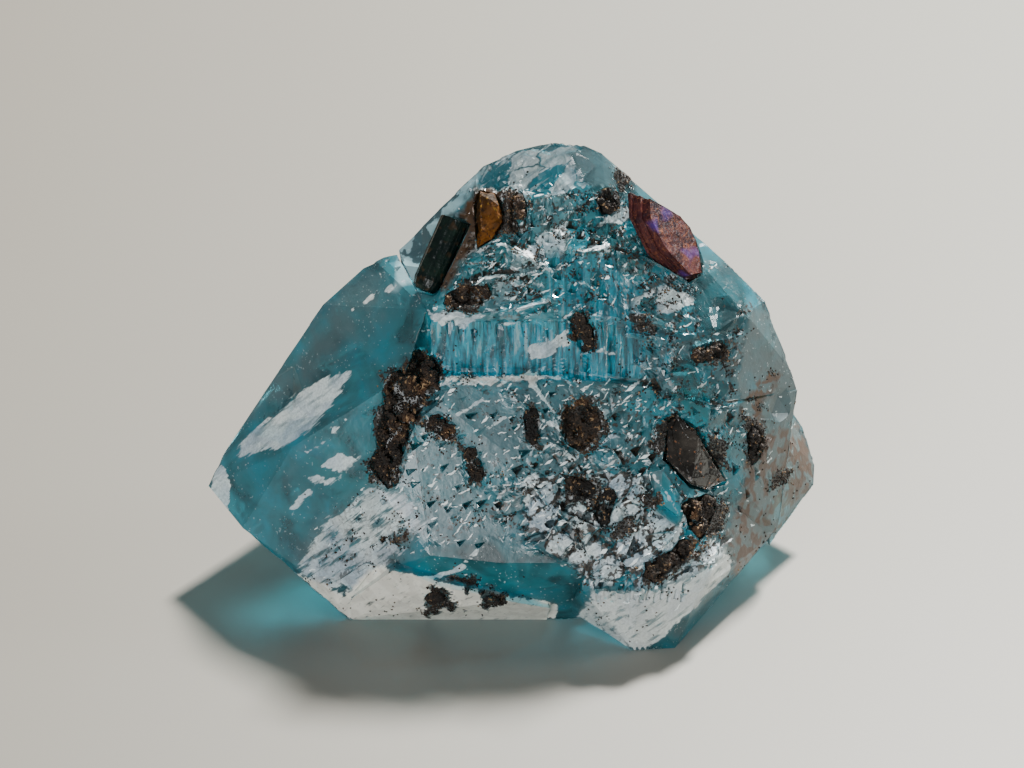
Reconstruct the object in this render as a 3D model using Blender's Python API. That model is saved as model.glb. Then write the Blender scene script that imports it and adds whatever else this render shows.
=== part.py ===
"""Blue topaz crystal, stepped and etched, with the minerals that grew on it.

Units are metres, +Z is up, +X runs to the right of the etched front and +Y to the back.
The origin is the middle of the crystal's footprint, on the surface that it rests on.
Places on the surface are given as (across, up), in millimetres, as seen by someone
who looks at the front from SIGHT_ELEVATION above the horizon.
"""

import math
import random

import bmesh
import bpy
from mathutils import Matrix, Vector
from mathutils.bvhtree import BVHTree

MM = 0.001
SIGHT_ELEVATION = math.radians(28.0)
SIGHT_DISTANCE = 200.0
SEAT_GAP = 0.3
SEED = 7

# Corners of the grown blocks, in millimetres.
LOWER_BODY = {
    "foot_front_left": (-21.6, -15.5, 0.0),
    "foot_front_middle": (7.0, -15.5, 0.0),
    "foot_front_right": (20.0, -14.0, 0.0),
    "foot_right": (28.0, -2.0, 0.0),
    "foot_back_right": (20.0, 18.0, 0.0),
    "foot_back_left": (-14.0, 19.0, 0.0),
    "foot_left": (-26.0, -2.0, 0.0),
    "left_underside": (-24.3, -15.0, 4.4),
    "left_tip": (-40.6, -2.0, 12.5),
    "left_tip_top": (-38.9, 0.0, 15.7),
    "left_low": (-35.7, -8.0, 9.5),
    "left_shoulder": (-36.2, 1.0, 19.6),
    "left_ridge": (-28.8, -8.5, 22.0),
    "left_corner": (-17.7, -14.8, 20.0),
    "front_low_left": (-10.6, -19.8, 12.4),
    "front_low_middle": (-1.5, -20.5, 11.7),
    "front_low_right": (6.2, -20.0, 8.0),
    "front_bulge": (18.0, -21.0, 12.0),
    "tread_left": (-13.7, -10.0, 33.4),
    "tread_middle": (3.0, -9.6, 33.4),
    "tread_middle_right": (17.8, -9.5, 31.5),
    "tread_right": (26.0, -9.0, 28.0),
    "right_front": (31.0, -8.5, 15.0),
    "right_low": (35.7, -4.0, 6.8),
    "right_shoulder": (38.1, 3.0, 24.4),
    "back_right": (30.0, 18.0, 16.0),
    "back_middle": (2.0, 24.0, 17.0),
    "back_left": (-28.0, 16.0, 15.0),
    "back_high_left": (-16.0, 12.0, 33.0),
    "back_high_right": (20.0, 13.0, 33.0),
}
LEFT_SHOULDER = {
    "tip_top": (-38.9, 0.3, 15.7),
    "shoulder": (-36.2, 1.5, 19.6),
    "crest": (-29.8, 2.0, 29.4),
    "peak": (-24.9, 3.0, 37.1),
    "notch": (-18.1, 4.0, 43.3),
    "notch_root": (-15.0, 3.5, 44.2),
    "ridge_high": (-11.0, -6.2, 41.0),
    "ridge_low": (-13.7, -10.2, 33.8),
    "ridge_foot": (-24.0, -9.0, 24.0),
    "back_low": (-28.0, 12.0, 20.0),
    "back_high": (-16.0, 10.0, 38.0),
}
UPPER_BODY = {
    "riser_foot_left": (-11.0, -8.6, 26.0),
    "riser_foot_right": (20.0, -8.6, 26.0),
    "riser_top_left": (-10.5, -8.0, 40.1),
    "riser_top_right": (13.8, -8.0, 40.7),
    "riser_crown": (2.0, -7.6, 42.2),
    "right_front_low": (28.0, -7.0, 28.0),
    "right_front_high": (24.0, -5.5, 37.0),
    "flat_right": (30.5, -1.0, 37.8),
    "fin_low": (-14.8, 4.0, 44.6),
    "fin_high": (-8.2, 5.0, 50.8),
    "top_left": (-3.5, 5.0, 56.5),
    "top_left_crown": (0.5, 5.5, 58.2),
    "top": (5.6, 6.0, 59.1),
    "top_right": (9.3, 6.0, 58.6),
    "top_right_crown": (11.6, 5.8, 57.6),
    "top_shoulder": (14.0, 5.0, 54.9),
    "mica_seat_high": (16.2, 4.0, 52.6),
    "right_peak": (28.7, 4.0, 42.2),
    "right_peak_low": (33.3, 3.5, 37.4),
    "right_edge": (37.0, 3.0, 27.7),
    "right_edge_low": (38.0, 3.0, 24.5),
    "back_low_left": (-12.0, 14.0, 26.0),
    "back_low_right": (26.0, 14.0, 24.0),
    "back_high": (6.0, 13.0, 50.0),
    "back_high_left": (-8.0, 11.0, 46.0),
}
FRONT_FOOT = {
    "toe_left": (15.6, -23.0, 0.0),
    "toe_right": (21.2, -22.5, 0.0),
    "toe_back": (10.0, -10.0, 0.0),
    "toe_back_right": (24.0, -10.0, 0.0),
    "inner_left": (7.0, -15.4, 1.6),
    "flank_right": (27.8, -14.0, 3.4),
    "flank_high": (31.0, -9.0, 12.0),
    "flank_far": (34.8, -4.6, 6.3),
    "bulge_left": (9.0, -21.4, 8.0),
    "bulge_right": (16.3, -25.0, 10.0),
    "bulge_flank": (24.3, -21.0, 7.5),
    "brow_left": (10.0, -18.4, 18.0),
    "brow_right": (24.0, -15.4, 19.0),
    "brow_high": (20.0, -11.5, 27.0),
}
FRONT_FRINGE = {
    "hem_left": (-21.4, -15.6, 0.0),
    "hem_right": (4.6, -15.6, 0.0),
    "hem_back_left": (-18.0, -9.0, 0.0),
    "hem_back_right": (2.0, -9.0, 0.0),
    "rise_left": (-21.1, -16.8, 3.9),
    "peak": (-15.1, -20.1, 10.6),
    "rise_middle": (-9.3, -21.2, 8.6),
    "rise_right": (-0.3, -21.2, 6.3),
    "end_right": (5.0, -18.2, 3.4),
    "root_left": (-15.0, -12.0, 10.0),
    "root_right": (2.0, -12.0, 6.0),
}
SIDE_LOBE = {
    "lobe_top": (37.8, 8.0, 18.6),
    "lobe_crown": (39.7, 9.0, 15.5),
    "lobe_out": (41.5, 8.0, 10.1),
    "lobe_low": (41.2, 6.0, 8.1),
    "lobe_base": (35.0, 0.0, 2.0),
    "lobe_front": (34.5, -3.0, 12.0),
    "lobe_front_top": (35.0, 1.0, 20.0),
    "lobe_back": (33.0, 13.0, 6.0),
    "lobe_back_top": (33.0, 13.0, 17.0),
    "lobe_root": (26.0, 4.0, 12.0),
}

# Outlines and places on the front, as (across, up).
ETCHED_FACE = [
    (-12.5, 23.2), (17.5, 23.4), (24.5, 20.5), (20.0, 9.0), (6.0, 1.5), (-8.5, 3.5), (-14.0, 10.5),
]
UPPER_FACE = [(-5.0, 33.5), (13.0, 33.5), (14.0, 43.5), (3.5, 48.0), (0.5, 42.0), (-5.0, 39.0)]
LOWER_LEFT_FACE = [(-24.5, 4.5), (-17.5, 9.5), (-13.5, 7.5), (-12.5, 3.0), (-16.5, 1.5), (-25.0, 0.5)]
RIGHT_FACE = [(16.0, 24.5), (28.5, 24.5), (29.5, 18.0), (33.5, 12.0), (30.0, 5.0), (26.5, 9.5)]
BACK_FACE = [(-24.0, 10.0), (22.0, 8.0), (14.0, 26.0), (-6.0, 36.0), (-20.0, 24.0)]
# Fields of etch pits. breadth and depth are shares of a pit's size, and gaps is the share left out.
PIT_FIELDS = (
    {
        "sight": "front",
        "outline": ETCHED_FACE,
        "spacing": 2.3,
        "size": (1.5, 2.7),
        "direction": math.radians(32.0),
        "breadth": 0.55,
        "depth": 0.36,
        "gaps": 0.16,
    },
    {
        "sight": "front",
        "outline": UPPER_FACE,
        "spacing": 2.3,
        "size": (1.6, 3.0),
        "direction": math.radians(75.0),
        "breadth": 0.6,
        "depth": 0.42,
        "gaps": 0.1,
    },
    {
        "sight": "front",
        "outline": LOWER_LEFT_FACE,
        "spacing": 2.6,
        "size": (1.4, 2.4),
        "direction": math.radians(38.0),
        "breadth": 0.5,
        "depth": 0.3,
        "gaps": 0.3,
    },
    {
        "sight": "front",
        "outline": RIGHT_FACE,
        "spacing": 2.5,
        "size": (1.4, 2.8),
        "direction": math.radians(120.0),
        "breadth": 0.7,
        "depth": 0.36,
        "gaps": 0.25,
    },
    {
        "sight": "back",
        "outline": BACK_FACE,
        "spacing": 6.0,
        "size": (3.0, 5.2),
        "direction": math.radians(20.0),
        "breadth": 0.5,
        "depth": 0.26,
        "gaps": 0.2,
    },
)
# Ledges, as the start and end of each, its rise off the face and its height up the face.
LEDGES = (
    ((-6.0, 39.4), (-0.8, 41.5), 0.8, 1.5),
    ((-0.8, 41.5), (5.1, 37.9), 0.9, 1.5),
    ((-5.3, 36.4), (-1.5, 36.9), 0.8, 1.3),
    ((-1.5, 36.9), (3.6, 38.0), 0.9, 1.3),
    ((-1.6, 33.0), (4.9, 34.2), 0.9, 1.2),
    ((8.0, 40.1), (11.9, 41.0), 0.9, 1.3),
    ((-10.0, 33.2), (-4.2, 33.4), 0.6, 1.4),
    ((-0.6, 23.0), (2.2, 20.3), 0.7, 0.9),
    ((3.1, 23.3), (6.3, 18.2), 0.8, 1.0),
    ((4.5, 16.4), (8.0, 14.5), 0.7, 0.9),
    ((14.4, 30.3), (20.5, 28.8), 0.9, 1.3),
    ((15.5, 26.6), (19.5, 25.2), 0.8, 1.0),
)
# Tilted plates, most of them at the lower right, as an outline and the rise of each corner.
PLATES = (
    ([(2.2, 11.1), (5.6, 11.1), (7.0, 8.8), (5.2, 7.2)], (0.9, 0.5, 0.3, 0.8)),
    ([(5.2, 8.2), (8.1, 6.9), (11.3, 5.3), (9.4, 3.0), (7.2, 5.6)], (0.9, 0.6, 0.5, 1.0, 1.2)),
    ([(13.0, 7.8), (16.3, 11.1), (17.1, 10.3), (13.9, 7.0)], (1.2, 1.0, 0.5, 0.7)),
    ([(2.7, 3.0), (5.9, 5.0), (8.2, 3.6), (6.0, 1.1)], (1.0, 0.7, 0.5, 1.2)),
    ([(12.2, 2.5), (13.4, 4.8), (16.2, 5.3), (14.9, 1.5)], (1.2, 0.5, 0.6, 1.3)),
    ([(16.3, 1.2), (17.0, 4.4), (21.4, 4.9), (19.8, 3.0)], (1.2, 0.6, 0.6, 1.1)),
    ([(10.2, -1.0), (12.2, 0.8), (16.5, 0.4), (14.4, -1.6)], (1.1, 0.5, 0.5, 1.0)),
    ([(21.5, 0.2), (24.4, 4.0), (27.4, 4.6), (25.6, 0.6)], (1.0, 0.5, 0.5, 1.0)),
    ([(-22.5, -1.8), (-19.0, 0.6), (-17.6, 0.2), (-20.4, -3.2)], (0.7, 0.5, 0.3, 0.7)),
    ([(9.5, 14.5), (12.8, 15.6), (14.6, 13.0), (11.2, 12.0)], (0.5, 0.9, 1.1, 0.6)),
    ([(18.2, 24.8), (22.6, 25.8), (24.5, 22.6), (20.4, 21.2)], (0.5, 0.9, 0.9, 0.4)),
)
# The smooth blade between the plates, in the same form.
BLADE = ([(17.3, 12.2), (19.0, 12.6), (21.6, 8.8), (21.4, 6.6), (18.8, 8.4)], (0.5, 1.3, 1.4, 0.4, 1.0))
# How deep a plate's or step's root lies under the face.
PLATE_SINK = 1.5
# Curved breaks, as the sight, the place, the curve's radius and the depth.
CHIPS = (
    ("front", (-2.8, 51.0), 7.0, 0.9),
    ("front", (3.4, 50.6), 6.0, 0.8),
    ("front", (8.6, 51.0), 6.5, 0.7),
    ("front", (-12.6, 41.6), 7.0, 0.9),
    ("front", (-29.6, 22.8), 9.0, 0.7),
    ("front", (27.5, 33.0), 8.0, 0.6),
    ("front", (35.6, 21.0), 6.0, 0.7),
    ("back", (-14.0, 30.0), 12.0, 1.0),
    ("back", (12.0, 36.0), 12.0, 1.1),
    ("back", (2.0, 12.0), 16.0, 1.0),
    ("back", (-26.0, 14.0), 9.0, 0.9),
    ("left", (4.0, 26.0), 10.0, 0.9),
    ("right", (-4.0, 24.0), 10.0, 0.8),
)
# Growth steps on the back, as an outline and a rise.
BACK_STEPS = (
    ([(-27.0, 9.0), (-8.0, 6.0), (-5.0, 20.0), (-16.0, 26.0)], 0.9),
    ([(-24.0, 12.0), (-12.0, 9.0), (-9.0, 17.0), (-15.0, 21.0)], 1.7),
    ([(7.0, 15.0), (20.0, 9.0), (22.0, 14.0), (12.5, 21.5)], 1.0),
    ([(-6.0, 30.0), (4.0, 27.0), (7.0, 36.0), (-3.0, 41.0)], 0.9),
)
# Rows of grooves: down the riser, and at the foot of the lower right.
RISER = {
    "left": -8.8,
    "right": 15.2,
    "top": 31.6,
    "bottom": 24.6,
    "count": 15,
    "depth": 0.55,
    "step": 0.5,
    "lean": 0.0,
}
HEM_COMB = {
    "left": 10.6,
    "right": 22.4,
    "top": -1.9,
    "bottom": -4.4,
    "count": 13,
    "depth": 0.4,
    "step": 0.4,
    "lean": 0.3,
}
# Share of the spacing that each groove takes.
GROOVE_BREADTH = 0.85
CHIP_CORNERS = 64
# How far a pit strays from its row, as a share of the spacing, and how much it turns.
PIT_STRAY = 0.3
PIT_TURN = 0.2

# Minerals that sit in the topaz, as (across, up) outlines or as (across, up, radius) lumps.
TOURMALINE = {"top": (-7.1, 44.7), "bottom": (-11.1, 35.6), "radius": 1.95, "sides": 9, "rise": 0.5}
# Rings of the prism's rounded foot, as the distance from its end and the share of the radius.
TOURMALINE_FOOT = ((1.4, 1.0), (0.4, 0.86), (0.0, 0.62))
GARNET_RISE = 1.1
GARNET_SINK = 1.8
SMOKY_QUARTZ_RISE = 0.7
SMOKY_QUARTZ_SINK = 2.2
# Sizes of a grain's top, at every second corner, and of its root, as shares of its outline.
GRAIN_TOP = (0.62, 0.77)
GRAIN_ROOT = 0.7
GARNET = [(-4.7, 46.6), (-4.1, 48.6), (-2.3, 48.2), (-1.3, 46.8), (-1.1, 44.6), (-2.6, 42.4), (-4.4, 41.2)]
SMOKY_QUARTZ = [
    (21.2, 20.1), (24.0, 17.8), (25.0, 14.2), (28.2, 11.0),
    (25.3, 9.9), (23.0, 10.6), (19.8, 14.0), (19.9, 18.6),
]
MICA = [
    (15.8, 48.6), (18.6, 47.2), (20.9, 46.0), (22.5, 44.3), (23.5, 42.2), (23.9, 40.6), (23.7, 38.8),
    (24.4, 37.1), (22.4, 36.7), (21.4, 38.3), (20.2, 39.4), (18.3, 40.8), (17.0, 43.4), (15.9, 45.4),
]
MICA_NORMAL = (0.72, -0.52, 0.46)
# Each sheet is smaller than the one below by MICA_STEP, and every second one by MICA_STAGGER more.
MICA_SHEETS = 5
MICA_SHEET = 0.55
MICA_SINK = 1.3
MICA_OVERLAP = 0.02
MICA_STEP = 0.045
MICA_STAGGER = 0.03
CRUSTS = {
    "left_crust": [
        (-11.7, 27.0, 1.5), (-11.6, 25.0, 2.4), (-14.4, 23.4, 2.2), (-11.0, 22.8, 1.9), (-14.6, 20.6, 2.3),
        (-15.4, 17.6, 1.9), (-15.8, 14.8, 1.9), (-17.2, 13.6, 1.3), (-15.9, 11.9, 1.5),
    ],
    "left_spur_crust": [(-9.6, 18.7, 1.1), (-8.2, 17.6, 1.1)],
    "middle_crust": [(8.5, 19.9, 1.9), (10.0, 18.4, 1.8), (8.6, 16.9, 1.7)],
    "slim_crust": [(2.6, 19.6, 1.0), (2.7, 18.2, 0.9), (2.7, 17.0, 0.9)],
    "small_crust": [(-5.3, 14.6, 0.9), (-5.0, 13.4, 0.9), (-4.5, 12.3, 1.0)],
    "streak_crust": [(8.6, 31.9, 0.9), (9.2, 30.4, 1.2), (9.6, 28.9, 0.9)],
    "upper_crust": [(-5.4, 35.1, 1.7), (-7.3, 34.5, 1.2), (-4.0, 35.5, 1.2)],
    "garnet_crust": [(0.7, 47.2, 1.1), (0.9, 45.7, 0.9), (0.8, 44.3, 1.1)],
    "peak_crust": [(12.2, 47.9, 1.2), (12.7, 46.8, 1.0)],
    "right_high_crust": [(24.3, 27.6, 1.0), (25.7, 27.8, 0.9), (26.9, 28.2, 1.1)],
    "right_low_crust": [(23.4, 7.6, 1.5), (25.6, 7.8, 1.6), (24.4, 5.5, 1.4)],
    "shelf_crust": [(18.2, -0.3, 1.3), (19.7, 0.7, 1.1), (21.1, 1.6, 1.0), (22.4, 2.6, 1.0)],
    "plate_crust": [(11.6, 8.0, 1.1), (12.4, 9.4, 1.0), (11.9, 6.6, 0.8)],
    "lower_crust": [(8.0, 10.9, 1.2), (9.5, 10.2, 1.2)],
    "hem_crust_left": [(-9.7, -3.8, 1.1), (-10.4, -4.3, 0.9)],
    "hem_crust_right": [(-1.9, -3.8, 0.9), (-3.0, -3.5, 0.8)],
    "side_crust": [(31.7, 17.0, 1.2), (32.6, 15.6, 1.1), (31.9, 14.2, 1.0)],
}
LUMP_CORNERS = 12
# A lump's height and sink as shares of its radius, and how far its corners reach.
LUMP_FLATNESS = 0.65
LUMP_REACH = (0.86, 1.12)
LUMP_SINK = 0.2
# A crust's lumps are held together by small roots around their middles.
LUMPS_PER_ROOT = 3
ROOT_SIZE = 0.4
TETRAHEDRON = ((1, 1, 1), (1, -1, -1), (-1, 1, -1), (-1, -1, 1))


class Sight:
    """One way of looking at the crystal, by which places on its surface are named."""

    def __init__(self, azimuth, elevation):
        turn = Matrix.Rotation(azimuth, 3, "Z")
        self.right = turn @ Vector((1.0, 0.0, 0.0))
        self.up = turn @ Vector((0.0, math.sin(elevation), math.cos(elevation)))
        self.forward = turn @ Vector((0.0, math.cos(elevation), -math.sin(elevation)))

    def start(self, across, up):
        return self.right * across + self.up * up - self.forward * SIGHT_DISTANCE

    def spot(self, tree, across, up):
        """The place and outward normal of the surface that is seen there."""
        place, normal, _, _ = tree.ray_cast(self.start(across, up), self.forward)
        return place, normal

    def on_plane(self, across, up, point, normal):
        """Where the line of sight meets the plane through point."""
        start = self.start(across, up)
        reach = (point - start).dot(normal) / self.forward.dot(normal)
        return start + self.forward * reach

    def plane_axes(self, normal):
        """Two directions in the surface that look level and upright from here."""
        level = (self.right - normal * self.right.dot(normal)).normalized()
        return level, normal.cross(level)


FRONT = Sight(0.0, SIGHT_ELEVATION)
SIGHTS = {
    "front": FRONT,
    "back": Sight(math.radians(180.0), math.radians(25.0)),
    "left": Sight(math.radians(-115.0), math.radians(20.0)),
    "right": Sight(math.radians(110.0), math.radians(20.0)),
}


def clear_scene():
    for thing in list(bpy.data.objects):
        bpy.data.objects.remove(thing)


def new_object(name, corner_lists, material=None):
    """An object of one flat-faced hull around each list of corners, given in millimetres."""
    shape = bmesh.new()
    for corners in corner_lists:
        points = [shape.verts.new(Vector(corner) * MM) for corner in corners]
        found = bmesh.ops.convex_hull(shape, input=points)
        spare = [v for v in found["geom_interior"] if isinstance(v, bmesh.types.BMVert)]
        bmesh.ops.delete(shape, geom=spare, context="VERTS")
    bmesh.ops.recalc_face_normals(shape, faces=shape.faces)
    mesh = bpy.data.meshes.new(name)
    shape.to_mesh(mesh)
    shape.free()
    if material:
        mesh.materials.append(material)
    thing = bpy.data.objects.new(name, mesh)
    bpy.context.scene.collection.objects.link(thing)
    return thing


def combine(target, tool, operation):
    """Joins tool to target, or cuts it away, and removes tool.

    The exact solver leaves open edges where this many small cuts cross, so this isn't it.
    """
    modifier = target.modifiers.new(tool.name, "BOOLEAN")
    modifier.operation = operation
    modifier.object = tool
    modifier.solver = "MANIFOLD"
    graph = bpy.context.evaluated_depsgraph_get()
    result = bpy.data.meshes.new_from_object(target.evaluated_get(graph))
    target.modifiers.clear()
    target.data = result
    bpy.data.objects.remove(tool)


def join(target, corner_lists):
    for corners in corner_lists:
        combine(target, new_object("grown", [corners]), "UNION")


def cut(target, corner_lists):
    combine(target, new_object("cutter", corner_lists), "DIFFERENCE")


def surface_of(thing):
    """A tree of the object's surface, in millimetres."""
    points = [vertex.co / MM for vertex in thing.data.vertices]
    return BVHTree.FromPolygons(points, [list(face.vertices) for face in thing.data.polygons])


def keep_largest_body(thing):
    """Drops the crumbs that the cuts leave loose."""
    shape = bmesh.new()
    shape.from_mesh(thing.data)
    bodies = []
    waiting = set(shape.faces)
    while waiting:
        body = set()
        edge_of_body = [waiting.pop()]
        while edge_of_body:
            face = edge_of_body.pop()
            body.add(face)
            for edge in face.edges:
                for other in edge.link_faces:
                    if other in waiting:
                        waiting.discard(other)
                        edge_of_body.append(other)
        bodies.append(body)
    largest = max(bodies, key=lambda body: sum(face.calc_area() for face in body))
    crumbs = [face for face in shape.faces if face not in largest]
    bmesh.ops.delete(shape, geom=crumbs, context="FACES")
    shape.to_mesh(thing.data)
    shape.free()


def slab(sight, tree, outline, rises):
    """Corners of a slab that stands off the surface by the rise given for each corner."""
    spots = [sight.spot(tree, *place) for place in outline]
    normal = sum((spot[1] for spot in spots), Vector()).normalized()
    top = [spot[0] + normal * rise for spot, rise in zip(spots, rises)]
    return top + [spot[0] - normal * PLATE_SINK for spot in spots]


def ledge(tree, start, end, rise, height):
    """Corners of a small overhanging step that runs from start to end across the front."""
    corners = []
    for place in (start, end):
        spot, normal = FRONT.spot(tree, *place)
        _, upright = FRONT.plane_axes(normal)
        corners += [
            spot + normal * rise,
            spot + upright * height,
            spot - upright * height / 4,
            spot - normal * rise,
        ]
    return corners


def groove(tree, top, bottom, width, depth):
    """Corners of a V-shaped cut down the front from top to bottom."""
    corners = []
    for place in (top, bottom):
        spot, normal = FRONT.spot(tree, *place)
        level, _ = FRONT.plane_axes(normal)
        lifted = spot + normal * depth / 2
        corners += [
            lifted + level * width / 2,
            lifted - level * width / 2,
            spot - normal * depth,
        ]
    return corners


def etch_pit(spot, normal, along, length, width, depth):
    """Corners of a three-sided etch pit: steep at its blunt end, long and shallow towards its point."""
    beside = normal.cross(along)
    lifted = spot + normal * depth * 0.5
    return [
        lifted + along * length * 0.65,
        lifted - along * length * 0.45 + beside * width * 0.6,
        lifted - along * length * 0.45 - beside * width * 0.6,
        spot - along * length * 0.25 - normal * depth,
    ]


def inside(place, outline):
    """True if place lies in the outline."""
    x, y = place
    found = False
    for (x0, y0), (x1, y1) in zip(outline, outline[1:] + outline[:1]):
        if (y0 > y) != (y1 > y) and x < (x1 - x0) * (y - y0) / (y1 - y0) + x0:
            found = not found
    return found


def pit_field(tree, field, chance):
    """Corners of the etch pits of one field: rows of like pits that all point the same way."""
    pits = []
    sight = SIGHTS[field["sight"]]
    across_all = [place[0] for place in field["outline"]]
    up_all = [place[1] for place in field["outline"]]
    step = field["spacing"]
    rows = int((max(up_all) - min(up_all)) / step)
    columns = int((max(across_all) - min(across_all)) / step)
    for row in range(rows + 1):
        for column in range(columns + 1):
            across = min(across_all) + (column + 0.5 * (row % 2)) * step
            up = min(up_all) + row * step
            across += chance.uniform(-PIT_STRAY, PIT_STRAY) * step
            up += chance.uniform(-PIT_STRAY, PIT_STRAY) * step
            size = chance.uniform(*field["size"])
            turn = field["direction"] + chance.uniform(-PIT_TURN, PIT_TURN)
            if chance.random() < field["gaps"] or not inside((across, up), field["outline"]):
                continue
            spot, normal = sight.spot(tree, across, up)
            level, upright = sight.plane_axes(normal)
            along = level * math.cos(turn) + upright * math.sin(turn)
            pits.append(
                etch_pit(spot, normal, along, size, size * field["breadth"], size * field["depth"])
            )
    return pits


def sphere_points(count):
    """Evenly spread directions."""
    golden = math.pi * (3.0 - math.sqrt(5.0))
    points = []
    for i in range(count):
        z = 1.0 - 2.0 * (i + 0.5) / count
        ring = math.sqrt(1.0 - z * z)
        points.append(Vector((ring * math.cos(golden * i), ring * math.sin(golden * i), z)))
    return points


def lump(spot, normal, radius, chance):
    """The middle of a rough flattened lump, and its corners as offsets from there."""
    level = normal.orthogonal().normalized()
    beside = normal.cross(level)
    offsets = []
    for point in sphere_points(LUMP_CORNERS):
        reach = radius * chance.uniform(*LUMP_REACH)
        offsets.append(
            (level * point.x + beside * point.y + normal * point.z * LUMP_FLATNESS) * reach
        )
    return spot - normal * radius * LUMP_SINK, offsets


def grown(corners, normal):
    """The corners moved out by the seat gap, sideways and along the normal."""
    middle = sum(corners, Vector()) / len(corners)
    moved = []
    for corner in corners:
        height = (corner - middle).dot(normal)
        sideways = (corner - middle - normal * height).normalized()
        moved.append(corner + sideways * SEAT_GAP * 1.3 + normal * math.copysign(SEAT_GAP, height))
    return moved


def make_material(name, colour, roughness, transmission=0.0, metallic=0.0):
    material = bpy.data.materials.new(name)
    material.use_nodes = True
    shader = material.node_tree.nodes["Principled BSDF"]
    shader.inputs["Base Color"].default_value = (*colour, 1.0)
    shader.inputs["Roughness"].default_value = roughness
    shader.inputs["Metallic"].default_value = metallic
    shader.inputs["Transmission Weight"].default_value = transmission
    return material


def grow_blocks(material):
    """The crystal's own flat-faced blocks, grown into one solid."""
    topaz = new_object("topaz_crystal", [LOWER_BODY.values()], material)
    for corners in (LEFT_SHOULDER, UPPER_BODY, FRONT_FOOT, FRONT_FRINGE, SIDE_LOBE):
        join(topaz, [corners.values()])
    return topaz


def chip(topaz):
    """Curved breaks on the crown, the edges and the back."""
    for sight_name, place, radius, depth in CHIPS:
        spot, normal = SIGHTS[sight_name].spot(surface_of(topaz), *place)
        middle = spot + normal * (radius - depth)
        cut(topaz, [[middle + point * radius for point in sphere_points(CHIP_CORNERS)]])


def grow_steps(topaz):
    """Ledges, tilted plates and growth steps that stand on the blocks."""
    tree = surface_of(topaz)
    steps = [ledge(tree, *step) for step in LEDGES]
    steps += [slab(FRONT, tree, outline, rises) for outline, rises in (*PLATES, BLADE)]
    for outline, rise in BACK_STEPS:
        steps.append(slab(SIGHTS["back"], tree, outline, [rise] * len(outline)))
    join(topaz, steps)


def comb(tree, row):
    """Corners of a row of side-by-side grooves, which end at slightly different heights."""
    grooves = []
    pitch = (row["right"] - row["left"]) / row["count"]
    for i in range(row["count"]):
        across = row["left"] + (i + 0.5) * pitch
        top = (across + row["lean"], row["top"] - row["step"] * (i % 3))
        bottom = (across, row["bottom"] + row["step"] * (i % 2))
        grooves.append(groove(tree, top, bottom, pitch * GROOVE_BREADTH, row["depth"]))
    return grooves


def etch(topaz, chance):
    """Striations and etch pits."""
    tree = surface_of(topaz)
    cut(topaz, comb(tree, RISER) + comb(tree, HEM_COMB))
    for field in PIT_FIELDS:
        cut(topaz, pit_field(surface_of(topaz), field, chance))


def seat(topaz, name, groups, normal, material):
    """Adds a mineral made of groups of overlapping hulls, and cuts a seat in the topaz for each group."""
    hulls = [corners for group in groups for corners in group]
    mineral = new_object(name, hulls[:1], material)
    join(mineral, hulls[1:])
    for group in groups:
        cut(topaz, [grown([corner for corners in group for corner in corners], normal)])


def add_tourmaline(topaz, tree, material):
    """A prism, cut off square at its top and rounded at its foot."""
    top, top_normal = FRONT.spot(tree, *TOURMALINE["top"])
    bottom, bottom_normal = FRONT.spot(tree, *TOURMALINE["bottom"])
    outward = (top_normal + bottom_normal).normalized()
    top += outward * TOURMALINE["rise"]
    bottom += outward * TOURMALINE["rise"]
    axis = (bottom - top).normalized()
    beside = axis.cross(outward).normalized()
    facing = beside.cross(axis)
    rings = [(top, 1.0)] + [(bottom - axis * back, share) for back, share in TOURMALINE_FOOT]
    corners = []
    for middle, share in rings:
        for i in range(TOURMALINE["sides"]):
            turn = 2 * math.pi * i / TOURMALINE["sides"]
            spoke = beside * math.cos(turn) + facing * math.sin(turn)
            corners.append(middle + spoke * TOURMALINE["radius"] * share)
    seat(topaz, "tourmaline_prism", [[corners]], axis, material)


def add_grain(topaz, tree, name, outline, rise, sink, material):
    """A blocky grain: widest at the surface, smaller at its top and its root."""
    spots = [FRONT.spot(tree, *place) for place in outline]
    normal = sum((spot[1] for spot in spots), Vector()).normalized()
    middle = sum((spot[0] for spot in spots), Vector()) / len(spots)
    corners = [spot[0] for spot in spots]
    for i, (spot, _) in enumerate(spots):
        corners.append(middle.lerp(spot, GRAIN_TOP[i % 2]) + normal * rise)
        corners.append(middle.lerp(spot, GRAIN_ROOT) - normal * sink)
    seat(topaz, name, [[corners]], normal, material)


def add_mica(topaz, tree, material):
    """A book of thin sheets, each a little smaller and shifted on the one below."""
    normal = Vector(MICA_NORMAL).normalized()
    middle_place = [sum(values) / len(MICA) for values in zip(*MICA)]
    base, _ = FRONT.spot(tree, *middle_place)
    outline = [FRONT.on_plane(across, up, base, normal) for across, up in MICA]
    middle = sum(outline, Vector()) / len(outline)
    sheets = []
    for sheet in range(MICA_SHEETS):
        low = sheet * MICA_SHEET - MICA_SINK
        high = low + MICA_SHEET + MICA_OVERLAP
        share = 1.0 - MICA_STEP * sheet - MICA_STAGGER * (sheet % 2)
        shrunk = [middle.lerp(corner, share) for corner in outline]
        sheets.append([corner + normal * height for height in (low, high) for corner in shrunk])
    seat(topaz, "mica_book", [sheets], normal, material)


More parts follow.
